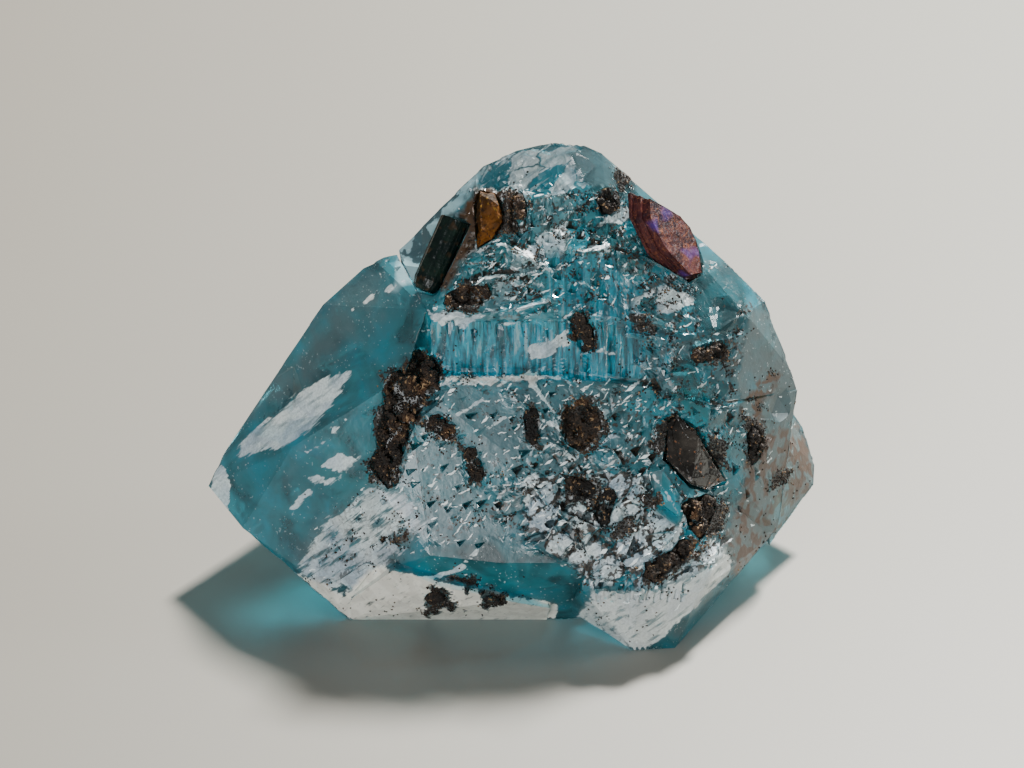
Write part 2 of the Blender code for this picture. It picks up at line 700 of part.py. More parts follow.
def add_crusts(topaz, tree, chance, material):
    """Patches of lumps. Every few lumps are held together by a root that runs through their middles."""
    for name, places in CRUSTS.items():
        spots = [FRONT.spot(tree, across, up) for across, up, _ in places]
        normal = sum((spot[1] for spot in spots), Vector()).normalized()
        lumps = [lump(spot[0], normal, place[2], chance) for spot, place in zip(spots, places)]
        groups = []
        for first in range(0, max(len(lumps) - 1, 1), LUMPS_PER_ROOT - 1):
            held = lumps[first:first + LUMPS_PER_ROOT]
            root = [middle + Vector(corner) * ROOT_SIZE for middle, _ in held for corner in TETRAHEDRON]
            groups.append([root] + [[middle + offset for offset in offsets] for middle, offsets in held])
        seat(topaz, name, groups, normal, material)


def centre_footprint():
    """Moves everything so that the origin is the middle of the footprint."""
    corners = [thing.matrix_world @ Vector(c) for thing in bpy.data.objects for c in thing.bound_box]
    across = [corner.x for corner in corners]
    back = [corner.y for corner in corners]
    middle = Vector((min(across) + max(across), min(back) + max(back), 0.0)) / 2
    for thing in bpy.data.objects:
        thing.data.transform(Matrix.Translation(-middle))


def main():
    clear_scene()
    chance = random.Random(SEED)
    blue = make_material("blue_topaz", (0.10, 0.45, 0.55), 0.15, transmission=0.6)
    green_black = make_material("green_black_tourmaline", (0.012, 0.025, 0.02), 0.12)
    orange = make_material("orange_garnet", (0.45, 0.16, 0.03), 0.2, transmission=0.3)
    purple = make_material("purple_mica", (0.30, 0.12, 0.16), 0.25)
    smoky = make_material("smoky_quartz", (0.16, 0.13, 0.11), 0.15, transmission=0.4)
    brown = make_material("brown_iron_crust", (0.09, 0.05, 0.03), 0.9)
    topaz = grow_blocks(blue)
    chip(topaz)
    grow_steps(topaz)
    before_etching = surface_of(topaz)
    etch(topaz, chance)
    add_tourmaline(topaz, before_etching, green_black)
    add_grain(topaz, before_etching, "garnet_grain", GARNET, GARNET_RISE, GARNET_SINK, orange)
    add_grain(
        topaz, before_etching, "smoky_quartz_grain", SMOKY_QUARTZ, SMOKY_QUARTZ_RISE, SMOKY_QUARTZ_SINK, smoky
    )
    add_mica(topaz, before_etching, purple)
    add_crusts(topaz, before_etching, chance, brown)
    keep_largest_body(topaz)
    centre_footprint()


main()
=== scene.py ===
"""Blue topaz crystal: the looks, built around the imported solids.

Places on the front are given as (across, up), in millimetres, as seen by someone who
looks at it from 28 degrees above the horizon.
"""

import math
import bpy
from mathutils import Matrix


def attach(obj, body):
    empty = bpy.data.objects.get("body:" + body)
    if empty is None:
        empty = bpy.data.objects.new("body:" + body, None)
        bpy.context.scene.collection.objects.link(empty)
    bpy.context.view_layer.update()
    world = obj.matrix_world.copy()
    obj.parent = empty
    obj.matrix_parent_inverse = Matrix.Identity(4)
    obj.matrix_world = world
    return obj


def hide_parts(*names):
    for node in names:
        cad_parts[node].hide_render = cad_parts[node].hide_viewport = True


bl_info = {
    "name": "Topaz crystal",
    "version": (1, 0, 0),
    "blender": (4, 5, 0),
    "location": "View3D > Sidebar > Topaz",
    "description": "Makes a see-through, etched blue topaz crystal with the minerals that grew in it",
    "category": "Object",
}

import bmesh
import bpy
import numpy as np
from mathutils import Vector

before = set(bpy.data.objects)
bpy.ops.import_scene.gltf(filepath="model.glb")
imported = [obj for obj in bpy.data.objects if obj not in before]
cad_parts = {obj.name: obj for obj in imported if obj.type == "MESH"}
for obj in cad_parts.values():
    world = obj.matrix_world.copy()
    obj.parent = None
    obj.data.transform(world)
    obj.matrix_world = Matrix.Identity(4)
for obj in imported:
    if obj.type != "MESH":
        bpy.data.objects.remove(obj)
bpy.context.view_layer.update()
BODY = "root"
MM = 0.001

# The sight line of the front view: its slope, the middle of the view on the solids, and its direction.
SIGHT_ELEVATION = math.radians(28.0)
SIGHT_SHIFT = (0.45, 0.5)
TO_VIEWER = np.array([0.0, -math.cos(SIGHT_ELEVATION), math.sin(SIGHT_ELEVATION)])
LIGHT_AIM = Vector((0.0, 0.0, 0.02))

# Directions on the front view, from level.
PIT_DIRECTION = math.radians(32.0)
STREAK_TURN = math.radians(36.0)
VEIL_DIRECTION = math.radians(52.0)
RIB_DIRECTION = math.radians(42.0)

# Colours and optics that no setting holds.
RISER_DARK = (0.002, 0.05, 0.08)
RISER_BRIGHT = (0.0, 0.31, 0.45)
RISER_PALE = (0.45, 0.62, 0.66)
AMBER = (0.04, 0.014, 0.001)
WARM_GREY = (0.1, 0.1, 0.085)
# Painted shade: deep teal for the shaded side of the etch pits and the recesses of the relief.
PAINTED_SHADE_TEAL = (0.002, 0.03, 0.042)
SOIL_DARK = (0.004, 0.003, 0.0025)
SOIL_BROWN = (0.055, 0.032, 0.018)
# A painted highlight on the lit walls of the etch pits, also the colour of the white dust flecks.
PIT_HIGHLIGHT_AND_DUST_WHITE = (0.85, 0.92, 0.92)
WARM_WHITE = (0.98, 0.93, 0.8)
SHADOW_TINT = (0.14, 0.28, 0.31)
TOPAZ_IOR = 1.62
QUARTZ_IOR = 1.54

# How far the corners of grains and slivers are moved at random, in metres.
GRAIN_WEAR = 0.00018
SLIVER_WEAR = 0.0002
# The longest edge of a crust's host, and the height below which no grain grows, in mm.
CRUST_REACH = 0.5
CRUST_FOOT = 0.45

# A grid over the front view, in mm, on which its mean height is taken.
GRID_CELL = 0.5
GRID_START = (-50, -20)
GRID_CELLS = (220, 200)


class Zone:
    """An area of the front: how soft and how ragged its edge is, its outline, and its marks."""

    def __init__(self, soft, ragged, outline, **marks):
        self.soft, self.ragged, self.outline, self.marks = soft, ragged, outline, marks


# Painted in this order. The marks say what the surface is like, from 0 to 1.
ZONES = {
    "etched_front": Zone(0.6, 0.8, [
        (-12.5, 3), (-14.8, 11), (-12.5, 24), (-11.5, 33), (-8, 38), (-5, 45), (0, 50), (12, 50), (17, 46),
        (25, 40), (33.5, 35.5), (37.5, 26), (38.5, 20), (42, 12), (37, 2), (28, -3), (20, -6), (11, -3),
        (4, 1), (-8, 3),
    ], etch=0.8, crumb=0.35, plate=0.25, grey=0.2, pit=0.3, dust=0.2),
    "main_face": Zone(0.5, 0.6, [
        (-12.5, 23.6), (16.5, 23.6), (24, 20.5), (19.5, 9), (6.2, 1.1), (-9.3, 3), (-14.8, 10.9),
    ], etch=0.88, pit=0.38, sliver=0.08, crumb=0.3, plate=0, grey=0.85, dust=0.1),
    "main_face_thick": Zone(3, 1.2, [
        (-2, 12), (3, 14), (8, 23), (16.5, 24.2), (24, 20.5), (19.5, 9), (8, 3), (-4, 8),
    ], pit=0.62, sliver=0.2, crumb=0.7, plate=0.45, pale=0.12, grey=0.6),
    "main_face_left": Zone(2, 1, [
        (-12.5, 23), (-8, 19), (-6, 11), (-9.3, 3), (-14.8, 10.9),
    ], pit=0.34, crumb=0.35),
    "riser": Zone(0.5, 0.3, [
        (-11, 32.4), (-3, 31.8), (16.5, 31.9), (21, 30.5), (20, 24.6), (-10.6, 24),
    ], etch=0.72, riser=1, pit=0, sliver=0, crumb=0.15, grey=0, plate=0),
    "riser_foot": Zone(0.5, 0.9, [
        (-9.6, 25.1), (-2, 24.9), (4, 25.6), (4, 24.4), (-3, 23.7), (-9.8, 23.9),
    ], frost=0.62, etch=0.9, crumb=1, warm=0.6, stain=0.3),
    "riser_patch": Zone(0.5, 0.7, [
        (1.8, 28.6), (7.6, 30.6), (7.2, 28.2), (4.4, 26.8), (2.2, 26.6),
    ], frost=0.8, etch=0.9),
    "riser_edge": Zone(0.5, 0.9, [
        (-11, 33.2), (-4, 33.4), (-3.6, 31.9), (-7, 31), (-10.8, 31.6),
    ], frost=0.75, etch=0.9),
    "upper_area": Zone(0.8, 0.8, [
        (-8.5, 34), (16, 32.2), (24, 37), (17, 46), (8, 49.5), (2, 49), (-3, 45), (-6.5, 40),
    ], etch=0.8, terrace=1, plate=0.95, pale=0.2, pit=0.3, sliver=0.12, crumb=0.9, grey=0.05),
    "upper_streaks": Zone(1.2, 0.8, [
        (3.5, 41), (12, 40.5), (16.5, 36), (15, 31.5), (6, 32), (4, 36),
    ], riser=0.75, terrace=0.35, etch=0.75, plate=0.3),
    "upper_left_steps": Zone(0.8, 0.6, [
        (-8, 33.6), (-3, 31.9), (4.2, 33.8), (4.4, 38), (-1, 41.2), (-6.2, 38.6),
    ], plate=0.25, riser=0, grey=0.3, pit=0.5, dust=0.5),
    "crown": Zone(0.8, 0.6, [
        (-11, 45), (-4, 53.5), (1, 58.5), (7, 59.5), (14, 56), (18, 50), (12, 49), (4, 48.5), (-2, 46),
        (-6, 44),
    ], etch=0.76, frost=0.34, grey=0.4, facet=1, crumb=0.04, plate=0.8, pale=0.58, pit=0.03, dust=0.15),
    "fin": Zone(0.9, 0.5, [
        (-15.5, 35.5), (-15, 43.5), (-10.5, 49), (-5, 53.6), (-3, 52), (-6, 47), (-9.6, 44), (-12.3, 37),
    ], etch=0.85, frost=0.1, grey=0.8, crumb=0, plate=0, pit=0, pale=0.8),
    "amber_stain": Zone(1, 0.9, [
        (-9.6, 36.6), (-8.6, 40.2), (-6.6, 46.4), (-4.6, 49.2), (-1.4, 48.6), (-0.6, 46), (-2.2, 42.8),
        (-6, 40), (-8.4, 35.8),
    ], stain=1, amber=1, plate=0, pale=0, grey=0, pit=0.2, crumb=1.2, frost=0, etch=0.95),
    "crown_window": Zone(0.5, 0.3, [
        (7.2, 53.5), (12.4, 55.8), (16.4, 52), (16, 48.4), (11, 47.8),
    ], etch=0.3, frost=0, facet=0, terrace=0, crumb=0, plate=0, pit=0, grey=0),
    "right_upper": Zone(0.9, 0.8, [
        (17, 24), (17, 34), (24, 38), (31, 35), (31, 18), (22, 15),
    ], etch=0.84, plate=0.9, pale=0.02, pit=0.2, crumb=0.8, grey=0, stain=0.2, sliver=0.03),
    "right_window": Zone(0.8, 0.5, [
        (23, 37), (28.5, 39.5), (31.5, 36), (28, 30), (24.5, 31),
    ], etch=0.45, plate=0.1, crumb=0.05, stain=0, pit=0.05),
    "right_arc": Zone(0.5, 0.4, [
        (19.5, 27), (22.6, 27.4), (25.4, 24), (26, 19), (24, 18), (21, 22),
    ], etch=0.6, plate=0, pit=0.1, stain=0.35, sliver=0),
    "right_frosted": Zone(0.8, 0.5, [
        (31.2, 33.5), (34, 33.5), (37.6, 26), (39, 21.5), (36, 17), (30.4, 17.5), (29, 24.3),
    ],
        etch=0.96, frost=0.08, grey=1, plate=0, pit=0.05, crumb=0.1, stain=0.1, sliver=0, dust=0.4,
        warm=0.55,
    ),
    "right_stain": Zone(1.2, 1.2, [
        (30, 21.5), (33.5, 25.5), (35.5, 25), (33, 20), (32, 16.5), (30, 16),
    ], stain=1, crumb=0.8),
    "lobe": Zone(0.6, 0.8, [
        (31, 17), (35, 17.5), (38.6, 18.6), (42, 13), (42.5, 7), (36, 0), (30, -2), (27.5, 3), (30.5, 9),
    ],
        etch=0.98, frost=0.12, grey=1, stain=0.9, crumb=0.12, rib=0.5, plate=0.1, pit=0.05, sliver=0,
        warm=0.9,
    ),
    "shingles": Zone(0.8, 0.9, [
        (1.5, 12), (10, 12.5), (17.5, 12.5), (24, 7), (28.5, 3.5), (26, -2.5), (10, -2), (7.5, 0.6),
        (1.5, 2.5),
    ], etch=0.9, plate=1, pale=0.8, pit=0.4, sliver=0.2, crumb=0.38, grey=0.2),
    "toe": Zone(0.5, 0.5, [
        (10, -3), (18, -2.6), (25, -0.5), (29, 2), (29, -1), (22, -7), (17, -11.5), (12, -11), (8, -8),
    ],
        etch=0.9, frost=0.64, plate=0.2, pale=0.8, crumb=0.1, rib=0.6, grey=0.8, pit=0.1, sliver=0,
        warm=0.35,
    ),
    "left_pale_face": Zone(1.8, 0.5, [
        (-27.5, 2.5), (-24.1, 6.6), (-17.7, 11.2), (-13.4, 9.6), (-10.5, 5.5), (-13.5, 2), (-19, -2.5),
        (-24, -4.5), (-29, -1.5),
    ], etch=0.92, frost=0.58, rib=1, grey=0.9, plate=0, pit=0.12, crumb=0.4, stain=0.2),
    "left_haze": Zone(3.5, 2.2, [
        (-36, 19), (-30, 28.5), (-24, 34.5), (-17.5, 37.5), (-17, 34), (-23, 28), (-30, 21),
    ], etch=0.9, grey=1, warm=0.5),
    "left_small_patch": Zone(0.6, 0.6, [
        (-25.6, 13.3), (-22.3, 14.7), (-19.2, 14.6), (-20.4, 12.6), (-23.5, 12.2),
    ], etch=0.9, frost=0.8),
    "left_small_streak": Zone(0.6, 0.6, [
        (-27.4, 11.6), (-24.5, 12), (-21.6, 11.6), (-23.6, 10.7), (-26, 10.6),
    ], etch=0.8, frost=0.7),
    "left_white_patch": Zone(2, 0.1, [
        (-37, 14), (-35, 17.2), (-31.3, 19.6), (-28, 22.6), (-24.6, 24.4), (-21.2, 25.2), (-23.2, 21.6),
        (-25.3, 18.9), (-28.6, 16.5), (-32.5, 15),
    ], etch=0.95, frost=1.05, grey=0),
    "left_tip": Zone(0.6, 0.5, [
        (-41.5, 6), (-38, 6.5), (-37.2, 10.5), (-38.6, 13.5), (-41.5, 11),
    ], etch=0.9, frost=0.85),
    "fringe": Zone(0.5, 0.5, [
        (-29, -1), (-22, -4), (-17.5, 0.2), (-11, -1.2), (-5, -2.6), (1, -3.8), (6.6, -4.8), (5, -10),
        (-15, -10), (-24, -8),
    ], etch=0.95, frost=0.72, grey=0.5, stain=0.15, crumb=0.25, rib=0.8, plate=0, warm=1),
    "low_window": Zone(0.6, 0.5, [
        (-12.5, -0.6), (-10.6, 1.6), (-4.8, 4), (3, 3), (8, -0.5), (10.1, -3.9), (6.3, -5.2), (1, -3.6),
        (-4.1, -2.2), (-9.3, -1.6),
    ], etch=0.72, frost=0, plate=0, pit=0.05, sliver=0, crumb=0.03, grey=0.1, dust=0.6, pale=0),
    "blade": Zone(0.5, 0.1, [
        (17.3, 13.1), (19.2, 13.1), (22.2, 6.9), (21.6, 5.3), (18.6, 7.3),
    ], etch=0.8, frost=0, plate=0, crumb=0, sliver=0, grey=0, pit=0, crust=0, pale=0, dust=0),
}
# White lines along ledges and broken edges: places along each, and half its width.
PALE_MARKS = {"frost": 1.0, "etch": 0.95, "terrace": 0.0, "crumb": 0.1, "plate": 0.0}
PALE_LINES = (
    ([(-1.2, 41.7), (4.8, 38.5)], 0.3),
    ([(-5.4, 37.1), (2.2, 38.2), (4.8, 38.5)], 0.3),
    ([(-5.9, 40.6), (-2.2, 41.9), (-1.2, 41.7)], 0.45),
    ([(-1.2, 32.8), (4.8, 34.3)], 0.28),
    ([(-0.9, 31.2), (0.9, 31.4), (1.7, 30.3)], 0.2),
    ([(9.0, 27.3), (10.0, 28.1), (13.0, 27.6)], 0.3),
    ([(-9.3, 23.6), (-3.0, 24.1), (0.1, 24.9), (5.9, 24.9)], 0.3),
    ([(8.5, 40.9), (12.4, 41.5)], 0.55),
    ([(-7.1, 19.8), (-3.8, 21.8)], 0.2),
    ([(-3.2, 18.1), (-0.9, 19.5)], 0.2),
    ([(0.0, 22.3), (2.1, 19.8), (6.3, 18.1)], 0.18),
    ([(2.5, 23.8), (5.4, 20.2)], 0.22),
    ([(2.5, 14.1), (4.9, 16.2), (6.3, 17.9)], 0.22),
    ([(4.9, 16.2), (8.2, 13.8)], 0.18),
    ([(10.4, 15.3), (12.7, 16.9), (15.3, 16.9)], 0.25),
    ([(-27.8, 14.4), (-24.9, 15.7), (-21.5, 19.2)], 0.2),
    ([(-28.9, 7.4), (-26.5, 9.7)], 0.35),
    ([(-12.2, -1.8), (-7.1, -0.3), (-4.3, 2.5)], 0.4),
    ([(-20.8, 33.3), (-17.6, 35.4), (-14.2, 37.0)], 0.35),
    ([(-17.3, 38.0), (-16.3, 40.2)], 0.3),
    ([(17.8, 12.6), (20.6, 8.4), (21.9, 6.2)], 0.16),
    ([(15.8, 32.9), (18.4, 32.3)], 0.25),
    ([(23.4, 41.6), (26.2, 42.2), (28.0, 40.6)], 0.25),
)
# Where the brown crusts lie.
CRUST_MARKS = {
    "crust": 0.78, "frost": 0.0, "crumb": 2.0, "sliver": 0.0,
    "etch": 0.95, "pit": 0.0, "plate": 0.0, "dust": 0.0,
}
CRUST_PATCHES = {
    "left": [
        (-11.8, 28.6), (-9, 25.6), (-9.2, 23.2), (-12.8, 18.6), (-13.8, 14.4), (-15.4, 10), (-17.6, 11.2),
        (-18.6, 12.8), (-17.2, 14.8), (-17.9, 18.9), (-16.3, 22), (-16.2, 24.8), (-14, 25.6),
    ],
    "left_spur": [
        (-12.8, 20.2), (-10.5, 20), (-8.5, 18.7), (-7.2, 16.4), (-8.4, 16.2), (-10.3, 17.8), (-12.6, 18.6),
    ],
    "small": [(-6.6, 15.2), (-4.7, 14.9), (-4.5, 12.9), (-3.8, 11.3), (-5.8, 11.2), (-5.7, 13.2)],
    "slim": [(2.6, 21.3), (3.5, 20), (3.1, 18.8), (3.5, 17.2), (3.2, 15.4), (1.9, 16.9), (1.6, 18.8)],
    "middle": [
        (6.6, 21), (9.3, 21.8), (11.6, 20.6), (12.4, 18.6), (11, 15.6), (9, 14.7), (7.4, 16.4),
        (6.8, 18.8),
    ],
    "streak": [
        (8.6, 33.6), (9.9, 32.6), (10.8, 30.6), (10.7, 28.2), (9.2, 27.6), (9.4, 29.4), (7.6, 29.8),
        (8.4, 31.6),
    ],
    "upper": [(-7.9, 36), (-5, 37.2), (-3.9, 35.6), (-4.1, 33.2), (-6, 32.6), (-8.2, 33.6)],
    "garnet_side": [
        (-1.6, 46.2), (-0.8, 48.6), (1.2, 48.5), (1.8, 46.2), (0.4, 44.9), (1, 42.7), (-1.6, 42.6),
        (-2.4, 44),
    ],
    "peak": [(11.2, 49.2), (13.8, 48.6), (13.6, 46.2), (11.6, 46.4)],
    "notch": [(13.6, 51.4), (15.9, 50.8), (15.6, 49), (13.6, 49.2)],
    "right_high": [(23.8, 28.2), (26.5, 28.6), (28.6, 29.4), (28.2, 26.7), (25.5, 26.4), (23.7, 26.9)],
    "quartz_side": [(25.2, 17.2), (27.9, 16.9), (28.2, 13), (26.6, 12.2)],
    "quartz_top": [(18.6, 17.6), (20.6, 20.2), (22, 20.8), (20.4, 17.8), (19.4, 14.8), (18, 15.4)],
    "right_ledge": [(15.1, 32.8), (17.9, 32.2), (18.1, 30.6), (15.6, 31)],
    "right_low": [(22.4, 9.3), (25.2, 8.8), (28.4, 7.8), (27.6, 5.2), (25.3, 3.2), (23.6, 5.4), (22.3, 7)],
    "shelf": [(17.1, -1.8), (18.4, 1.1), (21.6, 2.8), (23.9, 4.4), (24.4, 2.4), (20.6, -0.6), (19.2, -2.1)],
    "plate": [(12.4, 5.4), (14.4, 6.9), (17.1, 6.4), (15.2, 4.6), (13, 4)],
    "plate_high": [(16.3, 10), (19.2, 9.8), (18.8, 7.4), (16.7, 7.6)],
    "lower": [(6.6, 11.5), (9, 11.8), (11.8, 11.4), (11.2, 8.2), (8.8, 8), (7, 9)],
    "side": [(30.4, 19.2), (33.6, 18.4), (33.2, 14), (31.2, 13.6)],
    "lobe_band": [(33.6, 11.2), (36, 12.4), (38, 12), (37, 10.6), (34.4, 9.6)],
    "hem_left": [(-11.4, -4.6), (-9.6, -3), (-7.8, -3.4), (-7.8, -5.2), (-9.6, -5.4), (-11.2, -6.2)],
    "hem_middle": [(-7.9, -1.2), (-4.6, -1.5), (-5.8, -2.8)],
    "hem_right": [(-4, -3.4), (-0.6, -3.7), (-2.2, -5), (-3.6, -5.6)],
    "left_hem": [(-16.5, 3.4), (-13.6, 4.6), (-12.8, 4.2), (-15.2, 2.6)],
}
MARKS = (
    "etch", "frost", "stain", "grey", "riser", "pit", "terrace", "plate", "facet", "rib", "crumb", "sliver",
    "crust", "pale", "dust", "warm", "away", "amber", "shaded_recess",
)
# The marks that the stone's material reads, four to an attribute.
PAINTED = {
    "finish": ("etch", "frost", "stain", "grey"),
    "pattern": ("riser", "pit", "crust", "plate"),
    "tone": ("pale", "dust", "warm", "away"),
    "lines": ("shaded_recess", "amber", "sliver", "crumb"),
}


# The settings that a user would change.
def number_setting(name, description, default, **words):
    return bpy.props.FloatProperty(name=name, description=description, default=default, **words)


def length_setting(name, description, default):
    return number_setting(name, description, default, unit="LENGTH")


def colour_setting(name, description, default):
    return bpy.props.FloatVectorProperty(name=name, description=description, default=default, subtype="COLOR")


class TopazSettings(bpy.types.PropertyGroup):
    fine_reach: length_setting("Fine mesh", "Longest edge on the etched front", 0.00066)
    smooth_reach: length_setting("Smooth mesh", "Longest edge on the smooth front faces", 0.0013)
    back_reach: length_setting("Back mesh", "Longest edge on the back and the underside", 0.0019)
    pit_depth: length_setting("Pit depth", "Depth of the fine etch pits", 0.00026)
    ledge_depth: length_setting("Ledge depth", "Depth of the stepped relief", 0.0009)
    plate_depth: length_setting("Plate depth", "Depth between the tilted plates", 0.0007)
    clear_colour: colour_setting("Clear", "Colour of the clear surface", (0.82, 0.96, 1.0))
    depth_colour: colour_setting("Depth", "Colour that the stone lets through", (0.04, 0.68, 0.72))
    depth_density: number_setting("Depth density", "How fast the stone darkens with depth", 115.0)
    etched_colour: colour_setting("Etched", "Colour of the etched surface", (0.012, 0.15, 0.185))
    grey_colour: colour_setting("Grey", "Colour of the greyer surface", (0.05, 0.125, 0.15))
    bright_colour: colour_setting("Bright", "Colour of the bright blue facets", (0.002, 0.22, 0.3))
    lilac_colour: colour_setting("Lilac", "Colour of the lilac frosted plates", (0.46, 0.55, 0.63))
    milk_colour: colour_setting("Milk", "Colour of the milky edge", (0.33, 0.52, 0.57))
    frost_colour: colour_setting("Frost", "Colour of the white frosted surface", (0.78, 0.87, 0.87))
    stain_colour: colour_setting("Stain", "Colour of the iron stains", (0.065, 0.02, 0.002))


class CrustSettings(bpy.types.PropertyGroup):
    smallest: length_setting("Smallest grain", "Radius of the smallest grain", 0.00005)
    largest: length_setting("Largest grain", "Radius of the largest grain", 0.00026)
    density: number_setting("Density", "Grains for each square metre of crust", 26.0e6)
    loose_density: number_setting("Loose density", "Loose grains for each square metre", 16.0e6)
    dark_colour: colour_setting("Dark", "Colour of the hollows of the crust", (0.0035, 0.0026, 0.002))
    brown_colour: colour_setting("Brown", "Colour of the grains", (0.036, 0.021, 0.012))


class SliverSettings(bpy.types.PropertyGroup):
    length: length_setting("Length", "Length of the longest sliver", 0.0017)
    width: length_setting("Width", "Width of the widest sliver", 0.00055)
    density: number_setting("Density", "Slivers for each square metre", 0.3e6)


class MineralSettings(bpy.types.PropertyGroup):
    tourmaline_colour: colour_setting("Tourmaline", "Colour of the dark prism", (0.0015, 0.006, 0.0055))
    garnet_colour: colour_setting("Garnet", "Colour of the orange grain", (0.13, 0.045, 0.006))
    mica_colour: colour_setting("Mica", "Colour of the sheets", (0.016, 0.006, 0.01))
    mica_crack_colour: colour_setting("Mica cracks", "Colour of the cracks", (0.2, 0.07, 0.035))
    quartz_colour: colour_setting("Quartz", "Colour of the smoky grain", (0.045, 0.038, 0.032))


class StageSettings(bpy.types.PropertyGroup):
    floor_colour: colour_setting("Floor", "Colour of the floor", (0.112, 0.101, 0.083))
    # The right of the floor gets a lighter colour: a painted pool of light.
    floor_painted_light: colour_setting("Floor, right", "Colour of the floor on the right", (0.215, 0.22, 0.2))
    sky_strength: number_setting("Sky", "Strength of the soft light from all round", 0.22)
    camera_distance: length_setting("Distance", "From the camera to its target", 0.414)
    camera_lens: number_setting("Lens", "Focal length in millimetres", 110.0)
    camera_target: bpy.props.FloatVectorProperty(
        name="Target", description="What the camera looks at", subtype="XYZ", unit="LENGTH",
        default=(-0.00045, 0.0005, 0.0269),
    )


# Meshes.
def node_mesh(name):
    """A copy of a solid's mesh, with its loose triangles joined."""
    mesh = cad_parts[name].data.copy()
    shape = bmesh.new()
    shape.from_mesh(mesh)
    bmesh.ops.remove_doubles(shape, verts=shape.verts, dist=1e-6)
    shape.to_mesh(mesh)
    shape.free()
    return mesh


def corners_of(mesh):
    """The corners of a mesh, in mm."""
    points = np.empty(len(mesh.vertices) * 3)
    mesh.vertices.foreach_get("co", points)
    return points.reshape(-1, 3) / MM


def node_triangles(name):
    """The corners and triangles of a solid, in mm."""
    mesh = node_mesh(name)
    points = corners_of(mesh)
    mesh.calc_loop_triangles()
    faces = np.empty(len(mesh.loop_triangles) * 3, np.int32)
    mesh.loop_triangles.foreach_get("vertices", faces)
    bpy.data.meshes.remove(mesh)
    return points, faces.reshape(-1, 3).astype(np.int64)


def mesh_from(name, points, faces):
    """A mesh of triangles from corners in mm."""
    mesh = bpy.data.meshes.new(name)
    mesh.from_pydata((points * MM).tolist(), [], faces.tolist())
    mesh.update()
    return mesh


def link(name, mesh):
    thing = bpy.data.objects.new(name, mesh)
    bpy.context.scene.collection.objects.link(thing)
    return thing


def face_normals(points, faces):
    """The direction and the area of each triangle."""
    first, second, third = (points[faces[:, corner]] for corner in range(3))
    upright = np.cross(second - first, third - first)
    size = np.linalg.norm(upright, axis=1)
    return upright / np.maximum(size, 1e-12)[:, None], size / 2


def corner_normals(points, faces):
    """The mean direction of the triangles round each corner."""
    normals, areas = face_normals(points, faces)
    total = np.zeros_like(points)
    for corner in range(3):
        np.add.at(total, faces[:, corner], normals * areas[:, None])
    return total / np.maximum(np.linalg.norm(total, axis=1), 1e-12)[:, None]


def refine(points, faces, reach_at, rounds=16):
    """Halves every edge that is longer than its triangle may be, until none is left.

    The longest edge of a triangle is halved with any other, which keeps triangles from
    growing thin.
    """
    for _ in range(rounds):
        sides = np.stack([faces[:, [0, 1]], faces[:, [1, 2]], faces[:, [2, 0]]], axis=1)
        sides = np.sort(sides.reshape(-1, 2), axis=1)
        keys, which = np.unique(sides[:, 0] * len(points) + sides[:, 1], return_inverse=True)
        which = which.reshape(-1, 3)
        first, second = keys // len(points), keys % len(points)
        span = np.linalg.norm(points[first] - points[second], axis=1)
        reach = reach_at(points, faces)
        split = np.bincount(which[span[which] > reach[:, None]], minlength=len(keys)) > 0
        longest = which[np.arange(len(faces)), np.argmax(span[which], axis=1)]
        while True:
            need = split[which].any(axis=1) & ~split[longest]
            if not need.any():
                break
            split[longest[need]] = True
        if not split.any():
            break
        new = np.full(len(keys), -1)
        new[split] = len(points) + np.arange(split.sum())
        points = np.vstack([points, ((points[first] + points[second]) / 2)[split]])
        turn = np.argmax(span[which], axis=1)
        rows = np.arange(len(faces))
        a, b, c = (faces[rows, (turn + step) % 3] for step in range(3))
        ab, bc, ca = (new[which[rows, (turn + step) % 3]] for step in range(3))
        whole = ab < 0
        one = ~whole & (bc < 0) & (ca < 0)
        two_right = ~whole & (bc >= 0) & (ca < 0)
        two_left = ~whole & (bc < 0) & (ca >= 0)
        three = ~whole & (bc >= 0) & (ca >= 0)
        parts = [np.stack([a, b, c], axis=1)[whole]]
        for chosen, pattern in (
            (one, ((a, ab, c), (ab, b, c))),
            (two_right, ((ab, b, bc), (a, ab, c), (ab, bc, c))),
            (two_left, ((a, ab, ca), (ab, b, c), (ab, c, ca))),
            (three, ((a, ab, ca), (ab, b, bc), (bc, c, ca), (ab, bc, ca))),
        ):
            for triangle in pattern:
                parts.append(np.stack(triangle, axis=1)[chosen])
        faces = np.vstack(parts)
    return points, faces


# Patterns on a lattice, the same each run.
def chance(column, row, seed):
    """A steady number from 0 to 1 for each square of a lattice."""
    mix = column.astype(np.int64) * 374761393 + row.astype(np.int64) * 668265263 + seed * 974711
    mix &= 0xFFFFFFFF
    mix = ((mix ^ (mix >> 13)) * 1274126177) & 0xFFFFFFFF
    return ((mix ^ (mix >> 16)) & 0xFFFFFF) / float(0xFFFFFF)


def soft_noise(x, y, seed):
    """Smooth noise from 0 to 1, one bump for each unit."""
    column, row = np.floor(x), np.floor(y)
    share_x, share_y = x - column, y - row
    share_x = share_x * share_x * (3 - 2 * share_x)
    share_y = share_y * share_y * (3 - 2 * share_y)
    low = chance(column, row, seed) * (1 - share_x) + chance(column + 1, row, seed) * share_x
    high = chance(column, row + 1, seed) * (1 - share_x) + chance(column + 1, row + 1, seed) * share_x
    return low * (1 - share_y) + high * share_y


def rough_noise(x, y, seed):
    """Noise from 0 to 1 with three sizes of bump."""
    wide, medium = soft_noise(x, y, seed), soft_noise(x * 2.1, y * 2.1, seed + 1)
    return (wide * 4 + medium * 2 + soft_noise(x * 4.3, y * 4.3, seed + 2)) / 7


def turned(x, y, angle):
    """Places along and aside of a direction."""
    return x * math.cos(angle) + y * math.sin(angle), y * math.cos(angle) - x * math.sin(angle)


